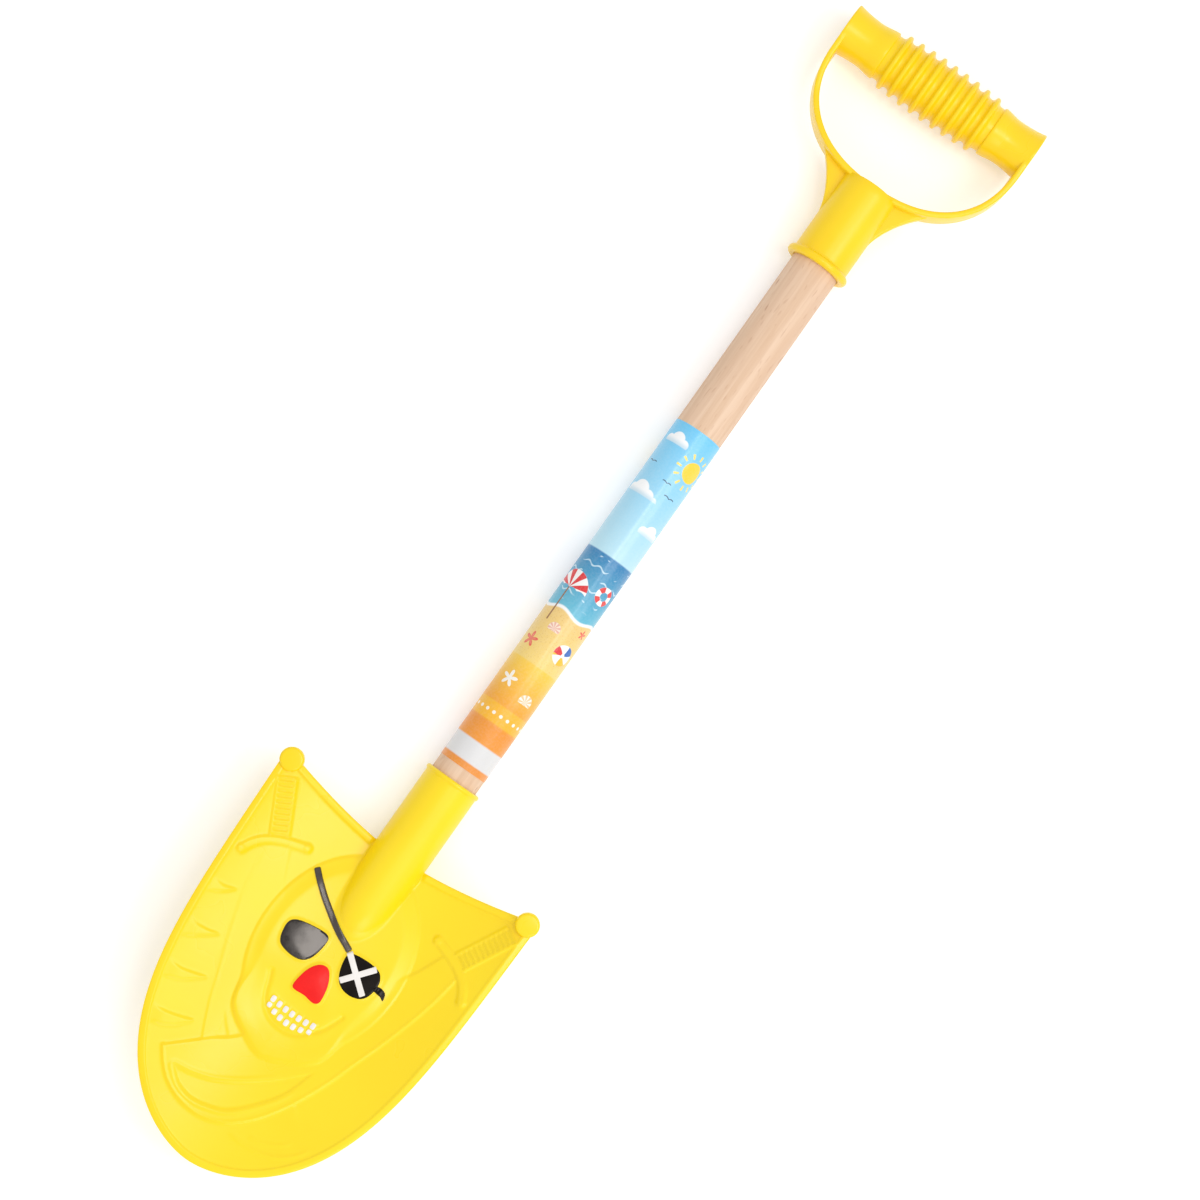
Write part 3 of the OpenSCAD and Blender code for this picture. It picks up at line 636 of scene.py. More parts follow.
def rimBead(x, y, gap, where):
    # a level land round the pan, with a low wall inside it and a rolled outer edge
    out = np.stack([np.interp(where, rimRun / rimRun[-1], rimOut[:, k]) for k in (0, 1)])
    out = out / np.hypot(*out)
    slope = baseZ(x + out[0], y + out[1]) - baseZ(x, y)
    edge = 1 - np.minimum(gap / pan["edgeRoll"], 1)
    rise = pan["rimRise"] + pan["topRise"] * np.maximum(0, out[1])
    up = rise * ease((pan["rimWidth"] - gap) / pan["rimWall"] + 0.5)
    crown = up - (pan["edgeFall"] * up + pan["edgeDrop"]) * edge ** 2
    return crown - slope * np.maximum(0, pan["rimWidth"] - gap)


def panSheet(name, share):
    sheet = grid(name, pan["columns"] // share, pan["rows"] // share)
    spots = getPoints(sheet)
    x, y = panPlace(spots[:, 0], (1 - spots[:, 1]) / 2)
    return sheet, x, y, *nearest(x, y, rimLine)


def makePan():
    front, x, y, gap, where = panSheet("blade", 1)
    within = ease(gap / pan["rimWidth"] + pan["rimShare"])
    beside = ease((np.abs(x) - socket["radius"] + socket["rimGap"]) / socket["rimFade"])
    beside = np.where(y > skull["mid"][1], beside, 1)
    z = faceZ(x, y) * within + baseZ(x, y) * (1 - within) + rimBead(x, y, gap, where) * beside
    setPoints(front, laid(np.stack([x, y, z], 1)))
    back, x, y, gap, _ = panSheet("back", pan["backShare"])
    roll = np.maximum(0, 1 - gap / pan["edgeRoll"]) ** 2
    z = baseZ(x, y) - pan["wall"] + skullRelief(x, y, pan["wall"]) + pan["backRoll"] * roll
    setPoints(back, laid(np.stack([x, y, z], 1)))
    openUp(back)
    bpy.ops.mesh.flip_normals()
    closeUp()
    only(front)
    back.select_set(True)
    bpy.ops.object.join()
    openUp(front)
    bpy.ops.mesh.remove_doubles(threshold=pan["merge"] * mm)
    bpy.ops.mesh.select_all(action="DESELECT")
    bpy.ops.mesh.select_mode(type="EDGE")
    bpy.ops.mesh.select_non_manifold()
    bpy.ops.mesh.bridge_edge_loops()
    bpy.ops.mesh.select_mode(type="VERT")
    faceOut()
    return front


def noseOutline(radius, straight, nose):
    turns = np.radians(np.arange(0, 90, 5))
    arc = [(radius * math.cos(a), -straight - nose * math.sin(a)) for a in turns]
    return arc + [(0, -straight - nose)]


def makeSocket():
    radius, bead = socket["radius"], socket["beadRadius"]
    middle = radius + socket["beadRise"] - bead
    turns = np.radians(np.arange(90, -56, -15))
    mouth = [(middle + bead * math.cos(a), -bead + bead * math.sin(a)) for a in turns]
    rings = (*socket["mouthRings"], *range(6, socket["straight"], socket["ringPitch"]))
    tube = [(radius, -y) for y in rings]
    nose = noseOutline(radius, socket["straight"], socket["nose"])
    return turned("socket", [(0, 0)] + mouth + tube + nose, (0, 0, 0), "Y", socket["sides"])


def makeBore():
    bore, chamfer = socket["bore"], socket["chamfer"]
    core = bore - socket["stop"]
    wide, deep = bore + chamfer, -stickInBlade
    outline = [(0, overrun), (wide, overrun), (wide, 0), (bore, -chamfer), (bore, deep), (core, deep)]
    outline += noseOutline(core, socket["straight"], socket["nose"] - 2 * socket["wall"])[1:]
    return turned("bore", outline, (0, 0, 0), "Y")


def makeStud(hand):
    x, y = hand * (panHalf - stud["inset"]), cornerY - stud["drop"]
    centre = (x, y, baseZ(x, y))
    return rod("stud", stud["sides"], stud["radius"], stud["height"], centre, stud["roll"], 6)


blade = makePan()
print("pan has", len(blade.data.vertices), "points")
combine(blade, makeSocket(), "UNION")
for hand in (-1, 1):
    combine(blade, makeStud(hand), "UNION")
combine(blade, makeBore(), "DIFFERENCE")
finished(blade, "blade", "blade_plastic", bladeYellow, degrees=62)
print("blade made")

# Prints on the skull: thin gloss films that follow the raised face

def gloss(name, colour, other, roughness, level, coat):
    finish = Finish(name, ior=1.5, specular_ior_level=level, specular_tint=tone(255, 245, 236),
                    coat_roughness=0.1)
    cloud = finish.noise(160, 3.0, 0.6)
    finish.set(base_color=finish.mix(finish.step(cloud, 0.35, 0.65), colour, other),
               roughness=finish.step(cloud, 0.3, 0.7, roughness - 0.04, roughness + 0.05),
               coat_weight=finish.step(finish.noise(300, 2.0), 0.3, 0.6, 0.6 * coat, coat))
    finish.bump(finish.noise(900, 2.0, 0.6), 0.05, 0.1)
    return finish.material


eyeBlack = gloss("eye_black", tone(18, 14, 13), tone(25, 20, 19), 0.12, 0.55, 0.1)
# the strap is the same black print as the patch; its paler, browner base colour is a painted reflection
strapBlackPaintedSheen = gloss("strap_black_painted_sheen", tone(42, 33, 29), tone(52, 42, 37), 0.26, 1.0, 0.1)
patchBlack = gloss("patch_black", tone(14, 10, 9), tone(20, 15, 13), 0.2, 0.14, 0.03)
printWhite = gloss("print_white", tone(243, 239, 236), tone(238, 233, 229), 0.35, 0.4, 0.1)
noseRed = gloss("nose_red", tone(248, 20, 20), tone(242, 15, 17), 0.42, 0.3, 0.05)
filmSink = 0.3                          # how far a film reaches into the blade


def onFace(name, spots, up):
    # rows of spots on the face, each lifted by its own height, as one closed shell
    spots = np.array(spots, float)
    z = faceZ(spots[..., 0].ravel(), spots[..., 1].ravel()).reshape(spots.shape[:2])
    return loft(name, np.concatenate([spots, (z + np.array(up, float))[..., None]], axis=2))


def film(name, outline, lift, dome, fall=None):
    # a closed shell inside an outline, sunk a little at the bottom and rolled over at the edge;
    # its crown falls off to the edge, or by its own share along x and y
    outline = np.asarray(outline, float)
    mid = (outline.min(0) + outline.max(0)) / 2
    half = (outline.max(0) - outline.min(0)) / 2
    off = 1 if fall is None else ((outline - mid) / half) ** 2 @ fall
    steps = [(0, -filmSink), (0.5, -filmSink), (0.97, -filmSink), (0.99, 0), (0.98, 0.7 * lift)]
    steps += [(share, lift) for share in (0.955, 0.88, 0.75, 0.6, 0.45, 0.3, 0.15, 0)]
    spots, ups = [], []
    for share, up in steps:
        bulge = dome * (1 - share ** 2 * off) if up >= lift else 0
        spots.append(mid + (outline - mid) * share)
        ups.append(np.full(len(outline), up + bulge))
    return onFace(name, spots, ups)


def ribbon(name, points, half, rise, over=0, roll=0.7, power=4):
    # a low rounded bar along a line on the face
    path = smoothRun(points, 8)
    across = sideways(path)
    run = runAlong(path)
    upper = np.linspace(-1, 1, 15)
    spread = np.concatenate([upper, np.linspace(1, -1, 9)[1:-1]])
    top = np.concatenate([np.maximum(0, 1 - np.abs(upper) ** power) ** 0.5,
                          np.zeros(len(spread) - len(upper))])
    ends = np.array([0, 0.05, 0.2, 0.5, 0.9])
    middle = np.linspace(1.2, run[-1] - 1.2, 40)
    spots, ups = [], []
    for place in np.unique(np.concatenate([ends, middle, run[-1] - ends])):
        at = np.array([np.interp(place, run, path[:, k]) for k in (0, 1)])
        out = np.array([np.interp(place, run, across[:, k]) for k in (0, 1)])
        end = np.clip(min(place, run[-1] - place) / roll, 0, 1)
        full = math.sqrt(1 - (1 - end) ** 2)
        wide = (half - roll * (1 - full)) * (end > 0)
        spots.append(at + np.outer(spread * wide, out))
        if end > 0:
            ups.append(np.where(top > 0, over + rise * top * full, -filmSink))
        else:
            ups.append(np.full(len(spread), over - 0.1))
    return onFace(name, spots, ups)


def joined(pieces):
    only(pieces[0])
    for other in pieces[1:]:
        other.select_set(True)
    bpy.ops.object.join()
    return pieces[0]


def toothOutline(x, y, height):
    turns = np.arange(face["toothSides"]) / face["toothSides"] * math.tau
    return (x, y) + superRound(turns, face["toothPower"]) * (face["toothWidth"] / 2, height / 2)


prints = {
    "eye": ("eye_black", eyeBlack), "patch": ("patch_black", patchBlack), "nose": ("nose_red", noseRed),
}
for key, look in prints.items():
    shape = film(key, smoothRun(face[key], closed=True), *face["films"][key])
    finished(shape, key + "_paint", *look)
teeth = joined([film("teeth", toothOutline(*spot), *face["films"]["teeth"]) for spot in toothPlaces()])
finished(teeth, "teeth_paint", "print_white", printWhite)
strap = ribbon("strap", face["strap"], face["strapHalf"], face["strapRise"], power=face["strapPower"])
tail = film("tail", smoothRun(face["tail"], 4, closed=True), *face["films"]["tail"])
strap = joined([strap, tail])
finished(strap, "strap_paint", "patch_black", strapBlackPaintedSheen)
strap.data.materials.append(patchBlack)
for facet in strap.data.polygons:       # the tail is printed with the patch
    facet.material_index = int(facet.center.x > face["tailFrom"] * mm)
barSize = [face[key] for key in ("crossHalf", "crossRise", "crossOver", "crossRoll")]
bars = [ribbon("cross", bar, *barSize) for bar in face["cross"]]
combine(bars[0], bars[1], "UNION")
finished(bars[0], "cross_paint", "print_white", printWhite)
print("prints made")

# Handle: a socket with a beaded mouth, the D loop, two webs and the ribbed grip

handle = {
    "mouth": 291, "radius": 14.1, "bore": 12.1, "chamfer": 0.5, "depth": 43, "beadRadius": 2,
    "beadRise": 2.08, "gripY": 392.5, "gripLength": 106.6, "endRadius": 12.9, "waistRadius": 11.45,
    "waistShare": 0.4, "collarRadius": 12.55, "collarOut": 30.4, "bodyRadius": 11.4, "barrel": 1.2,
    "endRoll": 0.7, "coreRadius": 8.6, "web": 4, "ribs": 9, "ribPitch": 6.25,
    "ribShape": [(-2.9, 0), (-2.5, 0.06), (-2.1, 0.22), (-1.75, 0.52), (-1.48, 0.95), (-1.27, 1.5),
                 (-1.08, 2.0), (-0.78, 2.4), (-0.4, 2.58)],
    "loopThick": 2.9, "loopStraight": 12, "loopDrop": 43, "loopPower": 2.28, "loopRoll": 0.9,
    "depthTop": 24, "depthLow": 16, "gussetThick": 5, "gussetOut": 21.5, "gussetDown": 22,
    "gussetPower": 1.45, "gussetRoll": 0.7, "neck": [(0.12, 0.15), (0, 0.6)], "ringPitch": 4,
    "topRoll": [(0, 0.6), (0.2, 0.15), (0.7, 0)], "sides": 128, "gripSides": 112, "coreSides": 80,
}
socketTop = handle["gripY"] - handle["loopStraight"] - handle["loopDrop"]


def loopLine(inset):
    # the loop's outline in the shovel's plane, moved in from its outer face
    half = handle["gripLength"] / 2 - inset
    drop = handle["loopDrop"] + handle["loopThick"] - inset
    curve = superRound(np.radians(np.arange(0, 181, 2.5)), handle["loopPower"])
    curve = curve * (half, -drop) - (0, handle["loopStraight"])
    straight = np.array([(half, 0), (half, -4), (half, -8)])
    line = np.concatenate([straight, curve, straight[::-1] * (-1, 1)])
    return line + (0, handle["gripY"])


def makeLoop():
    path = loopLine(handle["loopThick"] / 2)
    steps = np.hypot(*np.diff(path, axis=0).T)
    path = path[np.concatenate([[True], steps > 1e-3])]
    out = sideways(path)
    roll, thick = handle["loopRoll"], handle["loopThick"] / 2
    corner = np.radians(np.arange(0, 91, 22.5))
    reach = handle["loopStraight"] + handle["loopDrop"] / 2
    rows = []
    for spot, side in zip(path, out):
        fall = np.clip((handle["gripY"] - spot[1]) / reach, 0, 1)
        deep = (handle["depthTop"] + (handle["depthLow"] - handle["depthTop"]) * fall) / 2
        section = []
        for a, b, start in ((1, 1, 0), (-1, 1, 90), (-1, -1, 180), (1, -1, 270)):
            turns = corner + math.radians(start)
            x, z = a * (thick - roll) + roll * np.cos(turns), b * (deep - roll) + roll * np.sin(turns)
            section += zip(x, z)
        rows.append([(*(spot + side * n), z) for n, z in section])
    first, last = np.mean(rows[0], axis=0), np.mean(rows[-1], axis=0)
    return loft("loop", [[first] * len(rows[0])] + rows + [[last] * len(rows[0])])


def makeWebs():
    top = socketTop - handle["loopThick"] / 2
    cornerX, cornerDown = handle["radius"] + handle["gussetOut"], top - handle["gussetDown"]
    middle, outer = loopLine(handle["loopThick"] / 2), loopLine(0)
    bend = handle["gripY"] - handle["loopStraight"]
    under = outer[(outer[:, 1] < bend) & (outer[:, 0] > 0)]
    rise = np.interp(cornerX, under[::-1, 0], under[::-1, 1]) - cornerDown
    edge = superRound(np.radians(np.arange(0, 91, 5)), handle["gussetPower"])
    edge = edge * (-handle["gussetOut"], rise) + (cornerX, cornerDown)
    inLoop = middle[(np.abs(middle[:, 0]) < cornerX) & (middle[:, 1] < bend)]
    outline = np.concatenate([edge, inLoop, edge[::-1] * (-1, 1)])
    half = handle["gussetThick"] / 2
    piece = ring("webs", [(x, y, -half) for x, y in outline], "NGON")
    openUp(piece)
    bpy.ops.mesh.extrude_region_move(TRANSFORM_OT_translate={"value": (0, 0, 2 * half * mm)})
    faceOut()
    modify(piece, "BEVEL", width=handle["gussetRoll"] * mm, segments=3, limit_method="ANGLE",
           angle_limit=math.radians(60))
    return piece


def gripRadius(x):
    x = abs(x)
    out, end = handle["collarOut"], handle["gripLength"] / 2
    waist = out + (end - out) * handle["waistShare"]
    if x <= out:
        return handle["bodyRadius"] + handle["barrel"] * (1 - (x / out) ** 2)
    if x <= waist:
        share = float(ease((x - out) / (waist - out)))
        return handle["collarRadius"] + (handle["waistRadius"] - handle["collarRadius"]) * share
    share = (x - waist) / (end - waist)
    return handle["waistRadius"] + (handle["endRadius"] - handle["waistRadius"]) * share ** 2


def makeGrip():
    end, roll, edge = handle["gripLength"] / 2, handle["endRoll"], handle["endRadius"]
    collar = handle["collarOut"]
    half = [(0, -end), (edge - roll, -end), (edge - 0.3 * roll, -end + 0.3 * roll),
            (edge - 0.05, -end + roll)]
    places = [*np.arange(-end + roll + 1, -collar - 0.3, 1.0), -collar - 0.25]
    half += [(gripRadius(x), x) for x in places]
    shoulder = collar - 0.1
    half += [(handle["collarRadius"] - 0.15, -shoulder),
             (gripRadius(shoulder - 0.5) + 0.1, -shoulder + 0.5)]
    middle = []
    ribHalf = (handle["ribs"] - 1) / 2
    for k in np.arange(handle["ribs"]) - ribHalf:
        centre = k * handle["ribPitch"]
        shape = handle["ribShape"] + [(-a, b) for a, b in handle["ribShape"][::-1]]
        middle += [(gripRadius(centre + a) + b, centre + a) for a, b in shape]
    outline = half + middle + [(r, -x) for r, x in half[::-1]]
    return turned("grip", outline, (0, handle["gripY"], 0), "X", handle["gripSides"])


def makeHandle():
    low, bead, radius = handle["mouth"], handle["beadRadius"], handle["radius"]
    beadMid = radius + handle["beadRise"] - bead
    turns = np.radians(np.arange(-90, 76, 11))
    outline = [(0, low)] + [(beadMid + bead * math.cos(a), low + bead + bead * math.sin(a)) for a in turns]
    beadTop, top = low + 2 * bead, socketTop - handle["loopThick"] / 4
    outline += [(radius + out, beadTop + up) for out, up in handle["neck"]]
    outline += [(radius, y) for y in np.arange(beadTop + 1.2, top - 1, handle["ringPitch"])]
    outline += [(radius - back, top - down) for back, down in handle["topRoll"]] + [(0, top)]
    piece = turned("handle", outline, (0, 0, 0), "Y", handle["sides"])
    for more in (makeLoop, makeWebs, makeGrip):
        combine(piece, more(), "UNION")
    bore, chamfer = handle["bore"], handle["chamfer"]
    wide, deep = bore + chamfer, low + handle["depth"]
    cut = [(0, low - overrun), (wide, low - overrun), (wide, low), (bore, low + chamfer)]
    cut += [(bore, deep), (0, deep)]
    combine(piece, turned("bore", cut, (0, 0, 0), "Y"), "DIFFERENCE")
    core, inner, out = handle["coreRadius"], handle["web"] / 2, handle["gripLength"] / 2
    cut = [(0, inner), (core - 1, inner), (core, inner + 1), (core, out - chamfer), (core + chamfer, out),
           (core + chamfer, out + overrun), (0, out + overrun)]
    for hand in (-1, 1):
        hollow = [(r, hand * x) for r, x in cut]
        hollow = turned("core", hollow, (0, handle["gripY"], 0), "X", handle["coreSides"])
        combine(piece, hollow, "DIFFERENCE")
    return piece


finished(makeHandle(), "handle", "handle_plastic", handleYellow, degrees=50)
print("handle made")

# Stick of beech, with its ends chamfered

stick = {"low": -stickInBlade, "high": 334, "chamfer": 1.5, "sides": 96}


def beech():
    finish = Finish("beech", ior=1.45, specular_ior_level=0.3)
    grain = finish.noise(1, 4.0, 0.55, finish.stretched((380, 12, 380)))
    fine = finish.noise(1, 2.0, 0.6, finish.stretched((1500, 70, 1500)))
    broad = finish.noise(1, 2.0, 0.5, finish.stretched((70, 7, 70)))
    rays = finish.noise(1, 0.0, 0.5, finish.stretched((850, 170, 850)))
    marks = finish.noise(1, 0.0, 0.5, finish.stretched((330, 110, 330)))
    shade = finish.mix(finish.step(grain, 0.32, 0.68), tone(224, 189, 158), tone(238, 208, 181))
    shade = finish.mix(finish.step(broad, 0.4, 0.7) * 0.6, shade, tone(230, 196, 168))
    shade = finish.mix(finish.step(fine, 0.55, 0.75) * 0.35, shade, tone(215, 176, 143))
    shade = finish.mix(finish.step(rays, 0.7, 0.8) * 0.4, shade, tone(205, 163, 131))
    shade = finish.mix(finish.step(marks, 0.745, 0.8) * 0.75, shade, tone(186, 139, 112))
    finish.set(base_color=shade, roughness=finish.step(fine, 0.3, 0.7, 0.52, 0.66))
    finish.bump(fine * 0.6 + grain * 0.4, 0.12, 0.3)
    return finish.material


def makeStick():
    length = stick["high"] - stick["low"]
    centre = (0, stick["low"] + length / 2, 0)
    return rod("stick", stick["sides"], stickR, length, centre, stick["chamfer"], 2, math.pi / 2)


finished(makeStick(), "stick", "beech", beech())
print("stick made")

# Label: a printed paper sleeve with a plain seaside design, which comes twice round the stick

label = {
    "low": 7, "high": 196, "radius": 12.03, "thick": 0.14, "overlap": 5, "repeat": 38,
    "columns": 128, "rows": 20, "edgeOn": 1.5, "edgeRun": 2.5, "edgeLift": 1.1,
    "bands": [                          # from, to, and the colours at both ends
        (0, 3.3, (236, 147, 52), (236, 147, 52)), (3.3, 13.7, (224, 223, 223), (224, 223, 223)),
        (13.7, 24.4, (240, 152, 48), (238, 150, 46)), (24.4, 33.6, (249, 184, 40), (249, 186, 42)),
        (33.6, 57, (243, 166, 46), (249, 205, 74)), (57, 85, (246, 214, 122), (240, 204, 128)),
        (85, 118, (104, 190, 214), (46, 128, 182)), (118, 189, (188, 228, 242), (112, 202, 244)),
    ],
    "bandGap": 0.06, "swell": 1.1, "shore": (70, 78, 92, 104), "foam": (85.4, 0.75, 0.5),
    "sand": (57, 58, 84), "sea": (89, 91, 116), "ripple": (0.7, 5.4),
    "starfish": (-9.5, 66.5, 2.5, 1.5), "smallStar": (11.5, 81, 1.5, 0.9), "shell": (-2.5, 76, 3.1),
    "whiteStar": (-6.5, 46, 2.7, 1.5), "whiteShell": (6.5, 40.5, 3.6), "dots": (29, 3.8, 0.85),
    "ball": (8.6, 68, 5.2), "float": (8.5, 101, 3.4, 1.25), "parasol": (-8.6, 96, 9.2, 18),
    "sun": (9, 171, 5.2), "rays": (8, 1.3), "rayCount": 12, "starArms": 5, "shellRibs": 9,
    "ballWedges": 3, "floatStripes": 4, "parasolPanels": 8, "parasolScallops": 4, "rippleTurns": 6,
    "clouds": [[(-8, 152, 4.6), (-12.5, 150.5, 3.2), (-3, 150.3, 3.4), (0.6, 149.4, 2.2)],
               [(9.6, 137, 3.8), (5.4, 135.8, 2.7), (13.8, 135.6, 2.6)],
               [(-6.6, 180.5, 3.7), (-11, 179.3, 2.5), (-2.6, 179.2, 2.6)]],
    "gulls": [(6.5, 155, 3.0), (1.2, 160.5, 2.3), (-11.5, 166, 2.6)],
}


def printed():
    finish = Finish("label_paper", ior=1.48, specular_ior_level=0.4, coat_roughness=0.16)
    x, y, z = finish.axes()
    u = x.math("WRAP", x.math("ARCTAN2", x, z) * stickR, label["repeat"] / 2, -label["repeat"] / 2)
    v = y - label["low"]
    length = label["high"] - label["low"]
    wave = math.tau / label["repeat"]
    white, cream = (250, 250, 248), (250, 244, 232)

    def sine(value):
        return x.math("SINE", value)

    def cosine(value):
        return x.math("COSINE", value)

    def under(value, limit, soft=0.15):
        return finish.step(value, limit + soft, limit - soft)

    def about(place):                   # across, up, the distance and the turn from a place
        across, up = u - place[0], v - place[1]
        return across, up, (across * across + up * up) ** 0.5, x.math("ARCTAN2", across, up)

    def paint(mask, colour):
        nonlocal art
        art = finish.mix(mask, art, colour if isinstance(colour, Value) else tone(*colour))

    a, b, c, d = label["shore"]
    swell = label["swell"] * sine(u * (2 * wave)) * (finish.step(v, a, b) - finish.step(v, c, d))
    stops = []
    for low, high, first, last in label["bands"]:
        stops.append(((low + label["bandGap"]) / length, tone(*first)))
        stops.append(((high - label["bandGap"]) / length, tone(*last)))
    art = finish.node("ShaderNodeValToRGB", {"stops": stops}, [(v + swell) / length])
    place, half, soft = label["foam"]
    paint(under(abs(v + swell - place), half, soft), (248, 250, 250))
    low, full, high = label["sand"]
    grains = finish.step(finish.noise(1700, 1.0), 0.58, 0.72)
    paint(grains * (finish.step(v, low, full) * under(v + swell, high)) * 0.4, (205, 160, 84))
    low, full, high = label["sea"]
    height, pitch = label["ripple"]
    rows = x.math("FRACT", (v + height * sine(u * (label["rippleTurns"] * wave))) / pitch)
    broken = finish.step(finish.noise(1, 1.0, 0.5, finish.stretched((160, 260, 160))), 0.48, 0.56)
    ripples = under(abs(rows - 0.5), 0.07, 0.03) * broken
    paint(ripples * finish.step(v, low, full) * under(v, high) * 0.75, (214, 238, 246))
    for key in ("starfish", "smallStar"):
        _, _, away, turn = about(label[key])
        edge = away - label[key][3] * cosine(label["starArms"] * turn)
        paint(under(edge, label[key][2]), (232, 92, 74))
        paint(under(edge, label[key][2] - 1.1, 0.5) * 0.6, (247, 150, 118))
    shells = {"shell": ((250, 228, 208), (226, 148, 132)), "whiteShell": (cream, (246, 178, 70))}
    for key, (pale, dark) in shells.items():
        _, up, away, turn = about(label[key])
        fan = under(away, label[key][2]) * under(0 - up, 1.3)
        paint(fan, pale)
        paint(fan * under(cosine(turn * label["shellRibs"]), 0, 0.4) * 0.7, dark)
    _, _, away, turn = about(label["whiteStar"])
    edge = away - label["whiteStar"][3] * cosine(label["starArms"] * turn)
    paint(under(edge, label["whiteStar"][2]), cream)
    place, pitch, size = label["dots"]
    beside = (x.math("FRACT", u / pitch + 0.25) - 0.5) * pitch
    paint(under((beside * beside + (v - place) * (v - place)) ** 0.5, size), cream)
    across, up, away, turn = about(label["ball"])
    ball = under(away, label["ball"][2])
    paint(ball, white)
    wedge = ball * under(cosine(turn * label["ballWedges"] + away * 0.12 + 0.6), 0, 0.08)
    paint(wedge, finish.mix(under(across, -0.6), tone(42, 104, 190), tone(226, 44, 48)))
    paint(wedge * under(up, -0.8), (250, 196, 40))
    paint(under(away, 1.0), white)
    _, _, away, turn = about(label["float"])
    tyre = under(abs(away - label["float"][2]), label["float"][3])
    paint(tyre, white)
    paint(tyre * under(cosine(turn * label["floatStripes"]), 0, 0.1), (232, 60, 56))
    across, up, away, turn = about(label["parasol"])
    width, pole = label["parasol"][2:]
    paint(under(abs(across), 0.4) * under(up, 0) * under(0 - up, pole), (150, 104, 66))
    scallop = 0.7 * abs(sine(across * (math.pi / 2 / width * label["parasolScallops"])))
    canopy = under(away, width) * under(scallop - up, 0)
    paint(canopy, (250, 248, 246))
    paint(canopy * under(cosine(turn * label["parasolPanels"]), 0, 0.1), (222, 46, 50))
    _, _, away, turn = about(label["sun"])
    place, half = label["rays"]
    rays = under(0.72 - cosine(turn * label["rayCount"]), 0, 0.12)
    paint(under(abs(away - place), half) * rays, (253, 226, 110))
    paint(under(away, label["sun"][2]), (253, 214, 58))
    for cloud in label["clouds"]:
        foot = v - (cloud[0][1] - 2.6)
        depths = [puff[2] - about(puff)[2] for puff in cloud]
        depth = depths[0]
        for more in depths[1:]:
            depth = x.math("MAXIMUM", depth, more)
        depth = x.math("MINIMUM", depth, foot)
        shade = finish.mix(finish.step(foot, 0.2, 3.2), tone(206, 228, 240), tone(252, 253, 253))
        paint(finish.step(depth, -0.15, 0.35), shade)
    for gull in label["gulls"]:
        across, up, _, _ = about(gull)
        wings = abs(up - (0.75 * abs(across) - (0.62 / gull[2]) * across * across))
        paint(under(wings, 0.24, 0.12) * under(abs(across), gull[2]), (70, 92, 116))
    ink = finish.noise(900, 2.0, 0.6)
    paint(finish.step(ink, 0.35, 0.7) * 0.05, (255, 255, 255))
    finish.set(base_color=art, roughness=finish.step(ink, 0.3, 0.7, 0.36, 0.46),
               coat_weight=finish.step(finish.noise(60, 2.0), 0.3, 0.7, 0.3, 0.45))
    finish.bump(finish.noise(1300, 2.0, 0.6), 0.04, 0.1)
    return finish.material


def makeLabel():
    # a sheet rolled round the stick from the back, with its last edge over its first
    piece = grid("label", label["columns"], label["rows"])
    spots = getPoints(piece)
    girth = math.tau * label["radius"]
    along = (spots[:, 0] + 1) / 2 * (girth + label["overlap"])
    turn = along / label["radius"] - math.pi - label["overlap"] / 2 / label["radius"]
    lifted = ease((along - girth + label["edgeOn"]) / label["edgeRun"]) * label["thick"] * label["edgeLift"]
    radius = label["radius"] + lifted
    y = label["low"] + (spots[:, 1] + 1) / 2 * (label["high"] - label["low"])
    setPoints(piece, laid(np.stack([radius * np.sin(turn), y, radius * np.cos(turn)], 1)))
    modify(piece, "SOLIDIFY", thickness=label["thick"] * mm, offset=1)
    weld(piece, 0.0005)
    return piece


finished(makeLabel(), "label", "label_paper", printed())
print("label made")

# Brads through the backs of the two sockets

nail = {
    "shank": 0.9, "long": 11, "point": 2, "tip": 0.15, "head": 2.2, "thick": 0.4, "sides": 40,
    "places": {"blade_nail": (-20, -13.6), "handle_nail": (311, -14.1)},
}


def steel():
    finish = Finish("nail_steel", metallic=1.0)
    scratch = finish.noise(1, 3.0, 0.6, finish.stretched((2600, 500, 2600)))
    shade = finish.mix(finish.step(scratch, 0.3, 0.7), tone(176, 177, 181), tone(205, 206, 208))
    finish.set(base_color=shade, roughness=finish.step(scratch, 0.3, 0.7, 0.26, 0.4))
    finish.bump(scratch, 0.08, 0.05)
    return finish.material


nailSteel = steel()
head, thick, shank, tip = nail["head"], nail["thick"], nail["shank"], nail["long"]
bradOutline = [(0, -thick), (head * 0.6, -thick), (head * 0.9, -0.75 * thick), (head, -0.4 * thick),
               (head, 0), (shank, 0), (shank, tip - nail["point"]), (nail["tip"], tip), (0, tip)]
for node, (y, z) in nail["places"].items():
    brad = turned(node, bradOutline, (0, y, z), "Z", nail["sides"])
    finished(brad, node, "nail_steel", nailSteel, degrees=35)
print("brads made")

# Scene: camera where the photograph was taken from, soft light and a white floor

view = {"target": (7.2, 106.6, 0), "distance": 1295, "tilt": 3.5, "turn": 35.19, "lens": 84}
studio = {"world": 0.755, "floorWhite": 0.9, "floorGlow": 0.3, "floorSize": 30}
lamps = {                               # place and width in metres, and power in watts
    "softbox": ((1.0, 0.36, 1.5), 0.85, 6),
    "window": ((0.285, 0.21, 1.6), 0.43, 3),
    "key": ((1.3, -1.1, 1.5), 1.2, 7),
}


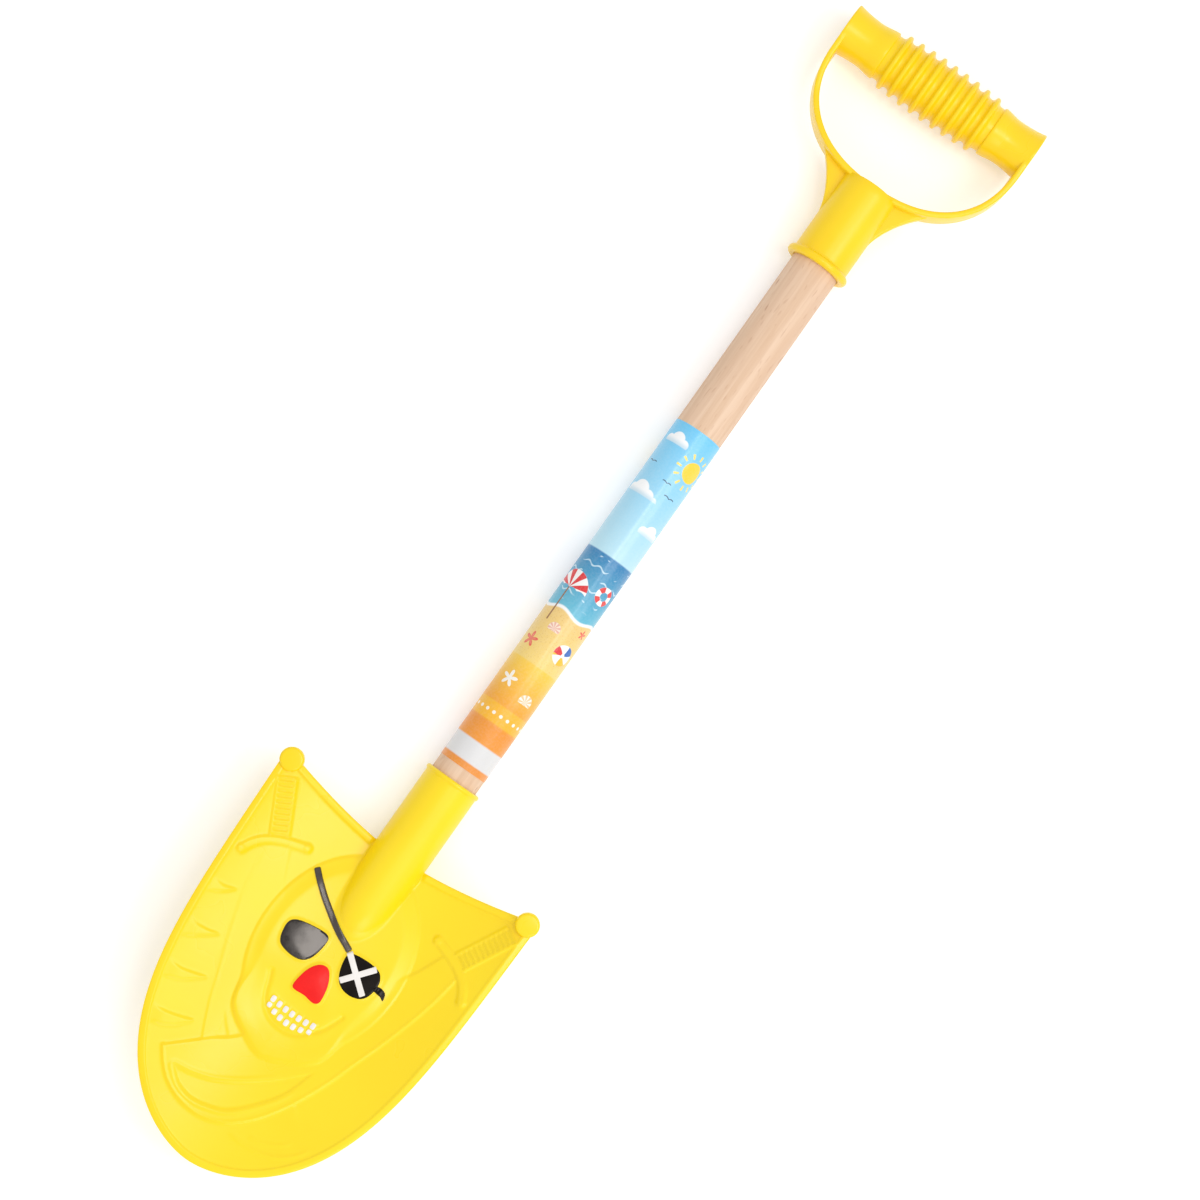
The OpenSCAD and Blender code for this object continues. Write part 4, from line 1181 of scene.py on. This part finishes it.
def makeCamera():
    tilt, turn = math.radians(view["tilt"]), math.radians(view["turn"])
    across = Vector((1, 0, 0))
    along = Vector((0, math.cos(tilt), math.sin(tilt)))
    away = across.cross(along)
    right = across * math.cos(turn) + along * math.sin(turn)
    up = along * math.cos(turn) - across * math.sin(turn)
    place = Vector(laid(view["target"])) + away * view["distance"] * mm
    lens = bpy.data.cameras.new("camera")
    lens.lens = view["lens"]
    lens.sensor_width = 36
    lens.clip_start, lens.clip_end = 0.01, 50
    camera = bpy.data.objects.new("camera", lens)
    bpy.context.scene.collection.objects.link(camera)
    turnOf = Matrix((right, up, away)).transposed().to_4x4()
    camera.matrix_world = Matrix.Translation(place) @ turnOf
    bpy.context.scene.camera = camera


def makeLamp(name, place, size, power):
    lamp = bpy.data.lights.new(name, "AREA")
    lamp.shape = "DISK"
    lamp.size = size
    lamp.energy = power
    holder = bpy.data.objects.new(name, lamp)
    bpy.context.scene.collection.objects.link(holder)
    holder.location = place
    holder.rotation_mode = "QUATERNION"
    holder.rotation_quaternion = (-Vector(place)).to_track_quat("-Z", "Y")


def makeWorld():
    world = bpy.data.worlds.new("studio")
    bpy.context.scene.world = world
    world.use_nodes = True
    back = world.node_tree.nodes["Background"]
    back.inputs["Color"].default_value = (1, 1, 1, 1)
    back.inputs["Strength"].default_value = studio["world"]


def floorWhite():
    # glows a little, but only where the eye sees it, straight, in a mirror or through glass
    finish = Finish("floor_white", base_color=(studio["floorWhite"],) * 3 + (1,), roughness=1.0,
                    specular_ior_level=0.0, emission_color=(1, 1, 1, 1))
    seen = finish.node("ShaderNodeLightPath", output="Is Camera Ray")
    for kind in ("Is Glossy Ray", "Is Transmission Ray"):
        seen = seen.math("MAXIMUM", seen, finish.node("ShaderNodeLightPath", output=kind))
    finish.set(emission_strength=seen * studio["floorGlow"])
    return finish.material


def makeFloor():
    floor = added("floor", bpy.ops.mesh.primitive_plane_add, size=studio["floorSize"])
    floor.data.materials.append(floorWhite())


makeCamera()
makeWorld()
for name, settings in lamps.items():
    makeLamp(name, *settings)
makeFloor()
bpy.context.scene.view_settings.view_transform = "Standard"
